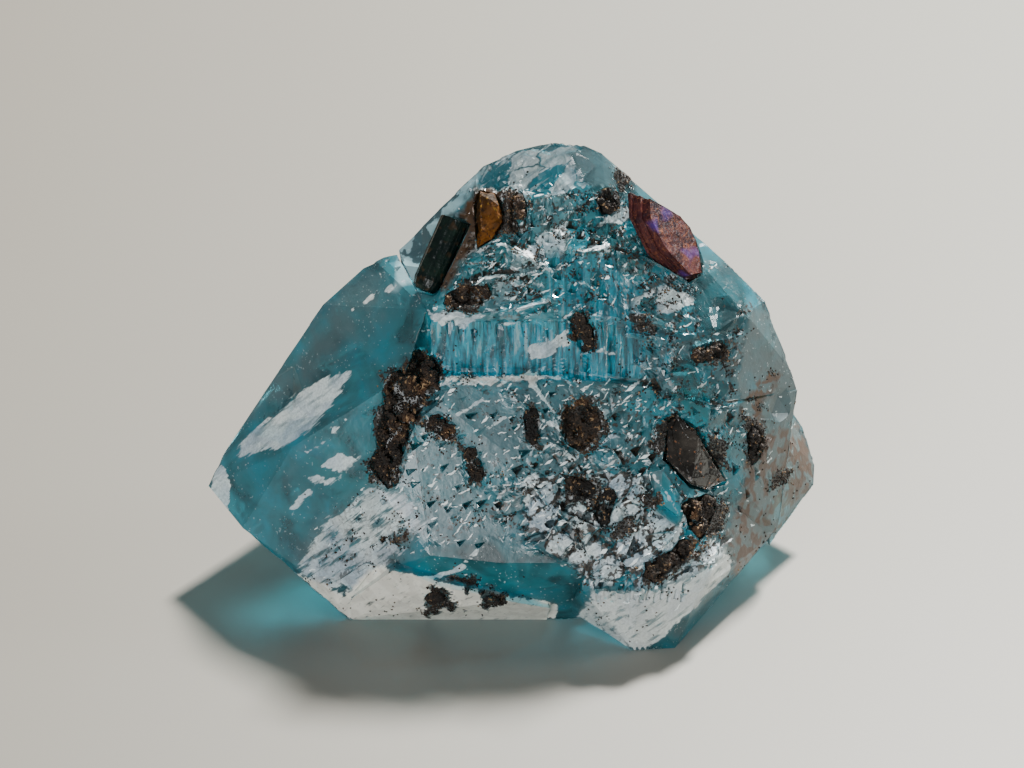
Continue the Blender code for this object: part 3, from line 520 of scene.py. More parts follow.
def cells(x, y, seed):
    """The nearest of the scattered middles: its chance, the way to it, and the gap to the next."""
    column, row = np.floor(x), np.floor(y)
    near = np.full(len(x), 9.0)
    next_near = np.full(len(x), 9.0)
    own, to_x, to_y = np.zeros(len(x)), np.zeros(len(x)), np.zeros(len(x))
    for step_x in (-1, 0, 1):
        for step_y in (-1, 0, 1):
            c, r = column + step_x, row + step_y
            gap_x = x - (c + 0.1 + 0.8 * chance(c, r, seed))
            gap_y = y - (r + 0.1 + 0.8 * chance(c, r, seed + 1))
            gap = np.hypot(gap_x, gap_y)
            closer = gap < near
            next_near = np.where(closer, near, np.minimum(next_near, gap))
            near = np.where(closer, gap, near)
            own = np.where(closer, chance(c, r, seed + 2), own)
            to_x, to_y = np.where(closer, gap_x, to_x), np.where(closer, gap_y, to_y)
    return own, to_x, to_y, next_near - near


def line_gap(line, across, up):
    """How far each place lies from a line of several stretches, in mm."""
    least = np.full(len(across), 1e9)
    for (x0, y0), (x1, y1) in zip(line, line[1:]):
        run_x, run_y = x1 - x0, y1 - y0
        share = np.clip(((across - x0) * run_x + (up - y0) * run_y) / (run_x**2 + run_y**2), 0, 1)
        least = np.minimum(least, np.hypot(across - x0 - share * run_x, up - y0 - share * run_y))
    return least


def inside_by(outline, across, up):
    """How far inside an outline each place lies, in mm, and below 0 outside."""
    closed = outline + outline[:1]
    least = line_gap(closed, across, up)
    inside = np.zeros(len(across), bool)
    for (x0, y0), (x1, y1) in zip(closed, closed[1:]):
        if y0 != y1:
            crosses = (y0 > up) != (y1 > up)
            inside ^= crosses & (across < x0 + (up - y0) * (x1 - x0) / (y1 - y0))
    return np.where(inside, least, -least)


# The stone's surface.
def sight_of(points):
    """Places across and up the front view, in mm."""
    across = points[:, 0] + SIGHT_SHIFT[0]
    back, high = points[:, 1] - SIGHT_SHIFT[1], points[:, 2]
    return across, back * math.sin(SIGHT_ELEVATION) + high * math.cos(SIGHT_ELEVATION)


def lay(marks, values, share):
    """Moves marks toward new values, by a share from 0 to 1 at each place."""
    for name, value in values.items():
        marks[name] += (value - marks[name]) * share


def surface_marks(points, normals):
    """What the surface is like at each place, from 0 to 1 for each name in MARKS."""
    across, up = sight_of(points)
    facing = np.clip((normals @ TO_VIEWER + 0.05) / 0.15, 0, 1)
    marks = {name: np.zeros(len(points)) for name in MARKS}
    sway = rough_noise(across / 1.3, up / 1.3, 3) - 0.5
    sway_fine = soft_noise(across / 0.45, up / 0.45, 5) - 0.5
    streak_along, streak_aside = turned(across, up, VEIL_DIRECTION)
    veil = np.clip(rough_noise(streak_along / 6.0, streak_aside / 1.6, 8) * 3.0 - 1.9, 0, 1)
    shade = np.clip((up - 14.0) / 22.0, 0, 1) * np.clip((-8.0 - across) / 10.0, 0, 1)
    marks["etch"] += 0.68 + 0.2 * veil
    marks["grey"] += 0.25 + 0.5 * veil + 0.3 * shade
    marks["dust"] += 0.25 + 0.4 * veil
    for zone in ZONES.values():
        gap = inside_by(zone.outline, across, up) + zone.ragged * (sway * 1.6 + sway_fine * 0.7)
        lay(marks, zone.marks, np.clip(gap / zone.soft + 0.5, 0, 1) * facing)
    for line, half_width in PALE_LINES:
        gap = half_width * (0.7 + 2.4 * sway) - line_gap(line, across, up) + 0.3 * sway_fine
        lay(marks, PALE_MARKS, np.clip(gap / 0.5 + 0.5, 0, 1) * facing)
    for outline in CRUST_PATCHES.values():
        gap = inside_by(outline, across, up) + 2.0 * sway + 1.1 * sway_fine + 0.1
        lay(marks, CRUST_MARKS, np.clip(gap / 0.8 + 0.5, 0, 1) * facing)
    side_x, side_y = side_places(points, normals)
    patch = rough_noise(side_x / 9.0, side_y / 7.0, 60)
    lay(marks, {
        "etch": 0.4 + 0.5 * np.clip(patch * 4 - 1.8, 0, 1),
        "frost": 0.6 * np.clip(patch * 5 - 2.9, 0, 1),
        "facet": 0.6,
        "crumb": 0.12 * np.clip(patch * 4 - 2, 0, 1),
        "dust": 0.4,
        "grey": 0.4,
        "away": 1.0,
    }, 1 - facing)
    return marks


def side_places(points, normals):
    """Places on the plane that each part of the surface faces most."""
    axis = np.argmax(np.abs(normals), axis=1)
    x = np.where(axis == 0, points[:, 1], points[:, 0])
    y = np.where(axis == 2, points[:, 1], points[:, 2])
    return x + 100.0 * axis, y


def plate_cells(across, up):
    """The tilted plates of the front."""
    along, aside = turned(across, up, PIT_DIRECTION)
    return cells(along / 3.1, aside / 2.0, 50)


def relief(settings, points, normals, marks):
    """How deep the relief lies below the surface, in mm."""
    across, up = sight_of(points)
    along, aside = turned(across, up, PIT_DIRECTION)
    sway = soft_noise(across / 3.1, up / 3.1, 12) - 0.5
    depth = marks["pit"] * settings.pit_depth / MM * rough_noise(along / 2.4, aside / 1.3, 20)
    wide = rough_noise(across / 4.2 + sway, up / 1.7, 30)
    levels = np.floor(wide * 7) / 7
    depth += marks["terrace"] * (levels - 0.25) * settings.ledge_depth / MM
    ribs = soft_noise(across / 1.1, up / 6.5, 40) * 0.4 + soft_noise(across / 2.6, up / 7.0, 41) * 0.5
    depth += marks["riser"] * ribs
    own, to_x, to_y, seam = plate_cells(across, up)
    tilt = (own - 0.5) * 2 * to_x + (own * 7 % 1 - 0.5) * 2.4 * to_y
    plates = 0.4 + 0.6 * tilt + 0.55 * np.clip(1 - seam / 0.2, 0, 1)
    depth += marks["plate"] * np.clip(plates, -0.3, 1.3) * settings.plate_depth / MM * 0.8
    along, aside = turned(across, up, RIB_DIRECTION)
    depth += marks["rib"] * soft_noise(along / 5.0, aside / 0.9, 55) * 0.14
    x, y = side_places(points, normals)
    front = np.clip((normals @ TO_VIEWER - 0.05) / 0.2, 0, 1)
    x, y = np.where(front > 0, across, x), np.where(front > 0, up, y)
    own, to_x, to_y, _ = cells(x / 4.6, y / 3.4, 70)
    bowl = (own - 0.5) * 0.9 * to_x + (own * 5 % 1 - 0.5) * 0.9 * to_y + 0.35 * np.hypot(to_x, to_y) ** 2
    depth += marks["facet"] * bowl * 0.8
    depth -= marks["crust"] * (0.05 + 0.4 * rough_noise(across / 0.9, up / 0.9, 77))
    return depth


def hollow_depth(points, normals):
    """How far each place of the front lies below the mean surface round it, in mm."""
    across, up = sight_of(points)
    height = points @ TO_VIEWER
    front = normals @ TO_VIEWER > 0
    spots = tuple(
        ((place - start) / GRID_CELL).astype(int) for place, start in zip((across, up), GRID_START)
    )
    total, count = np.zeros(GRID_CELLS), np.zeros(GRID_CELLS)
    np.add.at(total, tuple(spot[front] for spot in spots), height[front])
    np.add.at(count, tuple(spot[front] for spot in spots), 1)
    for axis in (0, 1, 0, 1, 0, 1):
        total = total + np.roll(total, 1, axis) + np.roll(total, -1, axis)
        count = count + np.roll(count, 1, axis) + np.roll(count, -1, axis)
    return (total / np.maximum(count, 1e-9))[spots] - height


def filled_pits(points, normals):
    """How far some of the wedge pits of the main face are filled, in mm, which makes them uneven."""
    across, up = sight_of(points)
    chosen = np.clip(rough_noise(across / 2.0, up / 2.0, 66) * 14 - 6.2, 0, 1)
    chosen *= inside_by(ZONES["main_face"].outline, across, up) > 0.3
    chosen *= normals @ TO_VIEWER > 0.1
    return chosen * np.clip(hollow_depth(points, normals) * 1.25, 0, 1.2)


def crystal_mesh(settings):
    """The stone with its fine relief, and the marks that its material reads."""
    points, faces = node_triangles("topaz_crystal")
    fine, smooth, back = (
        value / MM for value in (settings.fine_reach, settings.smooth_reach, settings.back_reach)
    )

    def reach_at(points, faces):
        normals, _ = face_normals(points, faces)
        across, up = sight_of(points[faces].mean(axis=1))
        facing = normals @ TO_VIEWER > 0.02
        etched = inside_by(ZONES["etched_front"].outline, across, up) > -0.8
        for name in ("left_pale_face", "left_white_patch", "fringe", "toe", "crown"):
            etched |= inside_by(ZONES[name].outline, across, up) > -0.6
        return np.where(facing, np.where(etched, fine, smooth), back)

    points, faces = refine(points, faces, reach_at)
    normals = corner_normals(points, faces)
    marks = surface_marks(points, normals)
    depth = relief(settings, points, normals, marks)
    depth *= np.clip((points[:, 2] - 0.02) / 0.6, 0, 1)
    points = points - normals * depth[:, None] + TO_VIEWER * filled_pits(points, normals)[:, None]
    # How far each place lies below the surface round it: the material paints this as shade, and as dirt where
    # crumbs lie.
    below = np.where(normals @ TO_VIEWER > 0.1, hollow_depth(points, normals), 0)
    marks["shaded_recess"] = np.clip((below - 0.06) / 0.3, 0, 1) * np.clip(marks["etch"] * 4 - 2.6, 0, 1)
    marks["shaded_recess"] *= np.clip(1 - marks["warm"], 0, 1) * np.clip(2.2 - 2.5 * marks["frost"], 0, 1)
    mesh = mesh_from("topaz", points, faces)
    for name, channels in PAINTED.items():
        layer = mesh.attributes.new(name, "FLOAT_COLOR", "POINT")
        layer.data.foreach_set("color", np.stack([marks[channel] for channel in channels], axis=1).ravel())
    return mesh


def painted_mark(mesh, mark):
    """A mark's value at each corner of the stone's mesh."""
    name = next(name for name in PAINTED if mark in PAINTED[name])
    values = np.empty(len(mesh.vertices) * 4)
    mesh.attributes[name].data.foreach_get("color", values)
    return values.reshape(-1, 4)[:, PAINTED[name].index(mark)]


# Materials.
class Painter:
    """Short ways to add the nodes of one tree."""

    def __init__(self, tree):
        self.tree = tree

    def node(self, kind, inputs=None, **settings):
        made = self.tree.nodes.new(kind)
        for name, value in settings.items():
            setattr(made, name, value)
        for name, value in (inputs or {}).items():
            self.put(made.inputs[name], value)
        return made

    def put(self, socket, value):
        if isinstance(value, bpy.types.NodeSocket):
            self.tree.links.new(value, socket)
        elif socket.type == "RGBA":
            socket.default_value = (*value, 1.0)
        else:
            socket.default_value = value

    def object_place(self):
        return self.node("ShaderNodeTexCoord").outputs["Object"]

    def turn(self, place, angles):
        return self.node("ShaderNodeMapping", {"Vector": place, "Rotation": angles}).outputs["Vector"]

    def vector(self, operation, *values):
        node = self.node("ShaderNodeVectorMath", operation=operation)
        for socket, value in zip(node.inputs, values):
            self.put(socket, value)
        return node.outputs["Vector"]

    def separate(self, colour):
        parts = self.node("ShaderNodeSeparateColor", {"Color": colour})
        return tuple(parts.outputs[channel] for channel in ("Red", "Green", "Blue"))

    def voronoi(self, flat, **settings):
        inputs = {"Vector": flat, "Scale": 1.0}
        return self.node("ShaderNodeTexVoronoi", inputs, voronoi_dimensions="2D", **settings).outputs

    def random(self, smallest, largest, seed):
        inputs = {"Min": smallest, "Max": largest, "Seed": seed}
        return self.node("FunctionNodeRandomValue", inputs, data_type="FLOAT_VECTOR").outputs["Value"]

    def flat(self, place, turn, cell):
        """Places on the front view, along and aside of a direction, in cells of that size."""
        sight = self.turn(place, (SIGHT_ELEVATION, turn, 0.0))
        parts = self.node("ShaderNodeSeparateXYZ", {"Vector": sight})
        return self.node("ShaderNodeCombineXYZ", {
            "X": self.math("DIVIDE", parts.outputs["X"], cell[0]),
            "Y": self.math("DIVIDE", parts.outputs["Z"], cell[1]),
        }).outputs["Vector"]

    def shaken(self, flat, place, scale, amount):
        """Places moved a little by noise, which makes straight edges ragged."""
        return self.vector("MULTIPLY_ADD", self.sway(place, scale, 2.0), (amount, amount, amount), flat)

    def sway(self, place, scale, detail):
        """Noise in three directions, each from -0.5 to 0.5."""
        inputs = {"Vector": place, "Scale": scale, "Detail": detail}
        colour = self.node("ShaderNodeTexNoise", inputs).outputs["Color"]
        return self.vector("SUBTRACT", colour, (0.5, 0.5, 0.5))

    def ragged(self, value, noise, amount):
        """A value made uneven by noise round 0.5."""
        return self.math("ADD", value, self.math("MULTIPLY", self.math("SUBTRACT", noise, 0.5), amount))

    def both(self, first, second):
        return self.math("MULTIPLY", first, second)

    def either(self, first, second):
        return self.math("MAXIMUM", first, second)

    def without(self, first, second):
        return self.both(first, self.math("SUBTRACT", 1.0, second, clamp=True))

    def pits(self, flat, density):
        """Etch pits, one in each cell at most: their lower wall as a painted highlight, and a painted shadow
        above it.
        """
        cell = self.voronoi(flat)
        size, here, shape = self.separate(cell["Color"])
        local = self.vector("SUBTRACT", flat, cell["Position"])
        place = self.node("ShaderNodeSeparateXYZ", {"Vector": local})
        along, aside = place.outputs["X"], place.outputs["Y"]
        reach = self.math("ADD", self.math("MULTIPLY", self.math("POWER", size, 2.0), 0.36), 0.1)
        tall = self.math("ADD", self.math("MULTIPLY", shape, 0.16), 0.1)
        there = self.math("LESS_THAN", here, density)
        narrowing = self.math("MULTIPLY", self.math("ABSOLUTE", aside), self.math("ADD", size, 0.2))
        inside = self.math("SUBTRACT", self.math("SUBTRACT", reach, self.math("ABSOLUTE", along)), narrowing)
        inside = self.both(self.step(inside, -0.01, 0.02), there)
        foot = self.step(self.math("ADD", aside, tall), -0.01, 0.02)
        white = self.both(self.step(aside, -0.01, -0.03), foot)
        top = self.step(self.math("SUBTRACT", tall, aside), -0.01, 0.03)
        dark = self.both(self.step(aside, -0.02, 0.01), top)
        end = self.math("ADD", along, self.math("MULTIPLY", size, 0.3))
        dark = self.both(dark, self.step(end, 0.1, 0.02))
        dark = self.both(dark, self.step(shape, 0.1, 0.2))
        return self.both(white, inside), self.both(dark, inside)

    def noise(self, place, scale, detail=2.0, roughness=0.5, distortion=0.0):
        inputs = {"Vector": place, "Scale": scale, "Detail": detail, "Roughness": roughness}
        return self.node("ShaderNodeTexNoise", {**inputs, "Distortion": distortion}).outputs["Fac"]

    def math(self, operation, first, second=0.0, clamp=False):
        node = self.node("ShaderNodeMath", operation=operation, use_clamp=clamp)
        self.put(node.inputs[0], first)
        self.put(node.inputs[1], second)
        return node.outputs["Value"]

    def step(self, value, low, high):
        """0 below low and 1 above high, and the other way round if low is above high."""
        inputs = {"Value": value, "From Min": low, "From Max": high, "To Min": 0.0, "To Max": 1.0}
        return self.node("ShaderNodeMapRange", inputs, clamp=True).outputs["Result"]

    def mix(self, share, first, second):
        node = self.node("ShaderNodeMix", data_type="RGBA")
        self.put(node.inputs["Factor"], share)
        self.put(node.inputs[6], first)
        self.put(node.inputs[7], second)
        return node.outputs[2]

    def blend(self, share, first, second):
        """One shader turning into another."""
        node = self.node("ShaderNodeMixShader", {"Fac": share})
        self.put(node.inputs[1], first)
        self.put(node.inputs[2], second)
        return node.outputs["Shader"]

    def attribute(self, name):
        node = self.node("ShaderNodeAttribute", attribute_name=name)
        return (*self.separate(node.outputs["Color"]), node.outputs["Alpha"])

    def bump(self, height, strength, distance):
        inputs = {"Height": height, "Strength": strength, "Distance": distance}
        return self.node("ShaderNodeBump", inputs).outputs["Normal"]

    def finish(self, shader, colour, normal, constants):
        """Joins a colour and a normal to a shader, and sets what is the same all over on its sockets."""
        self.put(shader.inputs["Base Color"], colour)
        self.put(shader.inputs["Normal"], normal)
        for name, value in constants.items():
            shader.inputs[name].default_value = value

    def flecks(self, place, scale, low, high):
        group = self.node("ShaderNodeGroup", node_tree=flecks_group())
        for name, value in (("Place", place), ("Scale", scale), ("Low", low), ("High", high)):
            self.put(group.inputs[name], value)
        return group.outputs["Mask"]


def flecks_group():
    """Small flecks of uneven size and spread, as a mask that several materials share."""
    name = "scattered_flecks"
    if name in bpy.data.node_groups:
        return bpy.data.node_groups[name]
    tree = bpy.data.node_groups.new(name, "ShaderNodeTree")
    tree.interface.new_socket("Place", in_out="INPUT", socket_type="NodeSocketVector")
    for label in ("Scale", "Low", "High"):
        tree.interface.new_socket(label, in_out="INPUT", socket_type="NodeSocketFloat")
    tree.interface.new_socket("Mask", in_out="OUTPUT", socket_type="NodeSocketFloat")
    paint = Painter(tree)
    start = paint.node("NodeGroupInput")
    fine = paint.noise(start.outputs["Place"], start.outputs["Scale"], 1.0, 0.6, 0.3)
    wide = paint.noise(start.outputs["Place"], paint.math("MULTIPLY", start.outputs["Scale"], 0.17), 1.0)
    both = paint.math("ADD", paint.math("MULTIPLY", fine, 0.78), paint.math("MULTIPLY", wide, 0.22))
    mask = paint.step(both, start.outputs["Low"], start.outputs["High"])
    paint.node("NodeGroupOutput", {"Mask": mask})
    return tree


def new_material(name):
    material = bpy.data.materials.new(name)
    material.use_nodes = True
    tree = material.node_tree
    return material, Painter(tree), tree.nodes["Principled BSDF"], tree.nodes["Material Output"]


def topaz_material(settings):
    """Clear blue stone, matt and pale where its marks say that it is etched or frosted."""
    material, paint, clear, output = new_material("blue_topaz")
    place = paint.object_place()
    sight = paint.turn(place, (SIGHT_ELEVATION, 0.0, 0.0))
    etch, frost, stain, grey = paint.attribute("finish")
    riser, pit, crust, plate = paint.attribute("pattern")
    pale, dust, warm, away = paint.attribute("tone")
    shaded_recess, amber, _, crumb = paint.attribute("lines")
    patches = paint.noise(place, 190.0, 3.0, 0.55, 0.5)
    fine = paint.noise(place, 900.0, 3.0, 0.6)
    grain = paint.noise(place, 3200.0, 2.0, 0.6)

    # The etched surface: dark, blue and grey patches.
    deep = tuple(value * 0.3 for value in settings.etched_colour)
    base = paint.mix(paint.step(patches, 0.36, 0.5), deep, settings.etched_colour)
    base = paint.mix(paint.step(patches, 0.52, 0.66), base, settings.bright_colour)
    grey_share = paint.both(grey, paint.step(paint.noise(place, 260.0, 2.0), 0.25, 0.55))
    base = paint.mix(grey_share, base, settings.grey_colour)

    # The upright lines of the riser.
    columns = paint.noise(paint.vector("MULTIPLY", sight, (1500.0, 400.0, 110.0)), 1.0, 3.0, 0.6)
    lines = paint.mix(paint.step(columns, 0.4, 0.54), RISER_DARK, RISER_BRIGHT)
    lines = paint.mix(paint.both(paint.step(columns, 0.58, 0.66), 0.7), lines, RISER_PALE)
    base = paint.mix(paint.both(riser, 0.9), base, lines)

    # The tilted plates: some frosted white, partly a painted highlight of lit plates, with dirt in their
    # seams.
    plate_flat = paint.shaken(paint.flat(place, PIT_DIRECTION, (0.0044, 0.0027)), place, 700.0, 0.5)
    chosen, tone, greyness = paint.separate(paint.voronoi(plate_flat)["Color"])
    seam = paint.voronoi(plate_flat, feature="DISTANCE_TO_EDGE")["Distance"]
    plate_colour = paint.mix(tone, deep, settings.bright_colour)
    plate_colour = paint.mix(paint.step(greyness, 0.65, 0.75), plate_colour, settings.grey_colour)
    base = paint.mix(paint.both(plate, 0.85), base, plate_colour)
    lit = paint.math("LESS_THAN", chosen, pale)
    lit = paint.both(paint.both(lit, plate), paint.step(seam, 0.02, 0.06))
    gap_width = paint.both(paint.step(fine, 0.42, 0.62), 0.15)
    gaps = paint.step(paint.math("SUBTRACT", seam, gap_width), 0.02, -0.01)
    gaps = paint.both(paint.both(plate, paint.step(pit, 0.15, 0.35)), gaps)
    milk = paint.step(paint.math("SUBTRACT", pale, plate), 0.3, 0.9)
    base = paint.mix(milk, base, settings.milk_colour)

    # Three layers of etch pits, each with a painted highlight on its lower wall and a painted shadow above
    # it, and painted shade in the hollows of the relief.
    flat = paint.flat(place, PIT_DIRECTION, (0.0026, 0.0015))
    white, dark = paint.pits(paint.shaken(flat, place, 1200.0, 0.55), pit)
    height = paint.math("SUBTRACT", paint.math("ADD", white, paint.both(columns, riser)), dark)
    for turn, cell, share in ((0.1, (0.0014, 0.0011), 0.8), (0.95, (0.0021, 0.0009), 0.6)):
        flat = paint.shaken(paint.flat(place, turn, cell), place, 1700.0, 0.5)
        more_white, more_dark = paint.pits(flat, paint.both(pit, share))
        white, dark = paint.either(white, more_white), paint.either(dark, more_dark)
    # Painted shade: the shadowed side of the pits, and the recesses below the surface round them.
    hollows = paint.both(paint.without(dark, frost), paint.step(fine, 0.46, 0.5))
    recess_shade_and_dirt = paint.without(paint.step(paint.ragged(shaded_recess, fine, 1.6), 0.5, 0.62), riser)
    hollows = paint.either(hollows, paint.without(recess_shade_and_dirt, paint.both(frost, 0.6)))
    white = paint.either(white, paint.both(paint.flecks(place, 2600.0, 0.655, 0.68), dust))

    # Frost in streaks.
    streak_place = paint.turn(place, (SIGHT_ELEVATION, STREAK_TURN, 0.0))
    streaks = paint.noise(paint.vector("MULTIPLY", streak_place, (240.0, 500.0, 1800.0)), 1.0, 3.0, 0.6)
    frosted = paint.either(paint.step(paint.ragged(frost, streaks, 1.3), 0.42, 0.56), lit)
    lilac = paint.mix(paint.step(patches, 0.4, 0.6), settings.frost_colour, settings.lilac_colour)
    for share, amount in (
        (paint.step(grain, 0.62, 0.4), 0.3), (paint.step(streaks, 0.5, 0.36), 0.5), (grey, 0.15),
    ):
        lilac = paint.mix(paint.both(share, amount), lilac, settings.grey_colour)
    lilac = paint.mix(paint.both(warm, 0.8), lilac, WARM_WHITE)
    base = paint.mix(paint.both(warm, 0.6), base, WARM_GREY)
    base = paint.mix(frosted, base, lilac)
    # Painted shade, deep teal, in the pits and recesses.
    base = paint.mix(paint.both(hollows, 0.9), base, PAINTED_SHADE_TEAL)
    # Painted highlights on the lit walls of the pits, and white dust flecks.
    base = paint.mix(white, base, PIT_HIGHLIGHT_AND_DUST_WHITE)

    # Rust, specks and crust dirt.
    rust = paint.both(paint.flecks(place, 620.0, 0.46, 0.54), stain)
    rust = paint.either(rust, paint.both(amber, paint.step(patches, 0.22, 0.36)))
    base = paint.mix(rust, base, paint.mix(amber, settings.stain_colour, AMBER))
    specks = paint.flecks(place, 1700.0, 0.6, 0.62)
    specks = paint.without(paint.both(specks, paint.step(crumb, 0.05, 0.4)), frost)
    soiled = paint.step(paint.ragged(crust, paint.noise(place, 850.0, 3.0, 0.6), 1.6), 0.42, 0.56)
    dark = paint.either(gaps, paint.either(specks, soiled))
    # Recesses where crumbs lie also take dirt.
    dark = paint.either(dark, paint.both(recess_shade_and_dirt, paint.step(crumb, 0.32, 0.6)))
    soil = paint.mix(paint.step(grain, 0.42, 0.66), SOIL_DARK, SOIL_BROWN)
    base = paint.mix(paint.both(dark, 0.94), base, soil)

    # Clear stone where nothing covers it, and matt stone elsewhere.
    clear.inputs["Base Color"].default_value = (*settings.clear_colour, 1.0)
    paint.put(clear.inputs["Roughness"], paint.math("ADD", paint.both(away, 0.3), 0.1))
    clear.inputs["Transmission Weight"].default_value = 1.0
    clear.inputs["IOR"].default_value = TOPAZ_IOR
    matt = paint.node("ShaderNodeBsdfPrincipled")
    height = paint.math("ADD", height, paint.both(fine, 0.4))
    height = paint.math("ADD", height, paint.both(paint.both(plate, tone), 0.8))
    paint.finish(matt, base, paint.bump(height, 0.6, 0.0003), {
        "Roughness": 0.36, "IOR": TOPAZ_IOR, "Transmission Weight": 0.2,
    })
    cover = paint.either(paint.either(etch, frosted), paint.either(paint.either(white, rust), dark))
    cover = paint.either(cover, paint.both(hollows, 0.9))
    stone = paint.blend(cover, clear.outputs["BSDF"], matt.outputs["BSDF"])
    shade = paint.node("ShaderNodeBsdfTransparent", {"Color": SHADOW_TINT})
    shadow_ray = paint.node("ShaderNodeLightPath").outputs["Is Shadow Ray"]
    paint.put(output.inputs["Surface"], paint.blend(shadow_ray, stone, shade.outputs["BSDF"]))
    absorption = paint.node("ShaderNodeVolumeAbsorption", {
        "Color": settings.depth_colour, "Density": settings.depth_density,
    })
    paint.put(output.inputs["Volume"], absorption.outputs["Volume"])
    return material


def plain_material(name, noises, colour, layers, bump, constants):
    """A material of one colour with others over it, each where a noise or flecks pass from low to high."""
    material, paint, shader, _ = new_material(name)
    place = paint.object_place()
    noises = {label: paint.noise(place, *values) for label, values in noises.items()}
    for mask, low, high, over in layers:
        if mask in noises:
            share = paint.step(noises[mask], low, high)
        else:
            share = paint.flecks(place, mask, low, high)
        colour = paint.mix(share, colour, over)
    height, strength, distance = bump
    paint.finish(shader, colour, paint.bump(noises[height], strength, distance), constants)
    return material


def crust_material(settings):
    """Spongy iron crust: black in its hollows, brown and rust on its grains."""
    noises = {"fine": (2200.0, 3.0, 0.65), "wide": (320.0, 3.0, 0.6), "broad": (90.0, 1.0)}
    return plain_material("brown_iron_crust", noises, settings.dark_colour, (
        ("fine", 0.42, 0.62, settings.brown_colour),
        ("wide", 0.55, 0.72, (0.08, 0.036, 0.013)),
        ("broad", 0.5, 0.35, settings.dark_colour),
        (1900.0, 0.6, 0.66, (0.3, 0.19, 0.1)),
    ), ("fine", 0.8, 0.0004), {"Roughness": 0.85})


def sliver_material(settings):
    """White frosted walls of the etch pits, their white partly a painted highlight of the lit walls."""
    material, paint, shader, _ = new_material("frosted_highlight_slivers")
    place = paint.object_place()
    colour = paint.mix(paint.noise(place, 500.0, 2.0), settings.frost_colour, (0.88, 0.94, 0.94))
    fine = paint.noise(place, 3000.0, 2.0)
    paint.finish(shader, colour, paint.bump(fine, 0.3, 0.0001), {"Roughness": 0.3})
    return material


def tourmaline_material(settings):
    """Dark green-black glassy prism with brown clouds."""
    noises = {"clouds": (420.0, 4.0, 0.6), "fine": (2400.0, 3.0)}
    return plain_material("green_black_tourmaline", noises, settings.tourmaline_colour, (
        ("clouds", 0.45, 0.7, (0.006, 0.017, 0.012)),
        (900.0, 0.58, 0.7, (0.026, 0.017, 0.009)),
    ), ("fine", 0.35, 0.0002), {"Roughness": 0.25, "Specular IOR Level": 0.25})


def garnet_material(settings):
    """Orange-brown granular grain with dark hollows."""
    noises = {"wide": (300.0, 3.0, 0.6, 0.4), "fine": (1500.0, 3.0, 0.65), "finest": (2600.0, 2.0)}
    return plain_material("orange_garnet", noises, (0.02, 0.011, 0.004), (
        ("wide", 0.4, 0.62, settings.garnet_colour),
        ("fine", 0.6, 0.72, (0.26, 0.14, 0.02)),
        ("finest", 0.45, 0.32, (0.02, 0.01, 0.006)),
    ), ("fine", 0.5, 0.0003), {"Roughness": 0.6, "Specular IOR Level": 0.1})


def quartz_material(settings):
    """Smoky grey-brown grain, dark in its depth, with pale flaws and brown flecks."""
    noises = {"wide": (300.0, 3.0, 0.6), "fine": (1500.0, 3.0, 0.6)}
    return plain_material("smoky_quartz", noises, (0.008, 0.007, 0.006), (
        ("wide", 0.45, 0.65, settings.quartz_colour),
        ("fine", 0.62, 0.75, (0.14, 0.13, 0.12)),
        (1500.0, 0.62, 0.66, (0.2, 0.085, 0.04)),
    ), ("wide", 0.5, 0.0008), {"Roughness": 0.2, "Transmission Weight": 0.3, "IOR": QUARTZ_IOR})


def mica_material(settings):
    """Purple-brown sheets with orange cracks and a violet sheen."""
    material, paint, shader, _ = new_material("purple_mica")
    place = paint.object_place()
    wide = paint.noise(place, 260.0, 3.0, 0.6, 0.6)
    fine = paint.noise(place, 1800.0, 3.0, 0.6)
    groove_place = paint.turn(place, (SIGHT_ELEVATION, -0.9, 0.0))
    grooves = paint.noise(paint.vector("MULTIPLY", groove_place, (260, 900, 900)), 1.0, 4.0)
    colour = paint.mix(paint.step(wide, 0.42, 0.62), settings.mica_colour, (0.07, 0.02, 0.02))
    for scale, width in ((330.0, 0.012), (800.0, 0.016)):
        veins = paint.noise(place, scale, 3.0, 0.6, 1.2)
        gap = paint.math("ABSOLUTE", paint.math("SUBTRACT", veins, 0.5))
        colour = paint.mix(paint.step(gap, width, 0.0), colour, settings.mica_crack_colour)
    colour = paint.mix(paint.both(paint.step(grooves, 0.55, 0.7), 0.4), colour, (0.1, 0.04, 0.045))
    violet = paint.step(paint.noise(place, 240.0, 1.0, 0.5, 0.3), 0.56, 0.68)
    colour = paint.mix(paint.both(violet, 0.75), colour, (0.06, 0.03, 0.2))
    paint.finish(shader, colour, paint.bump(fine, 0.4, 0.0003), {
        "Roughness": 0.3, "Specular IOR Level": 0.22,
    })
    return material


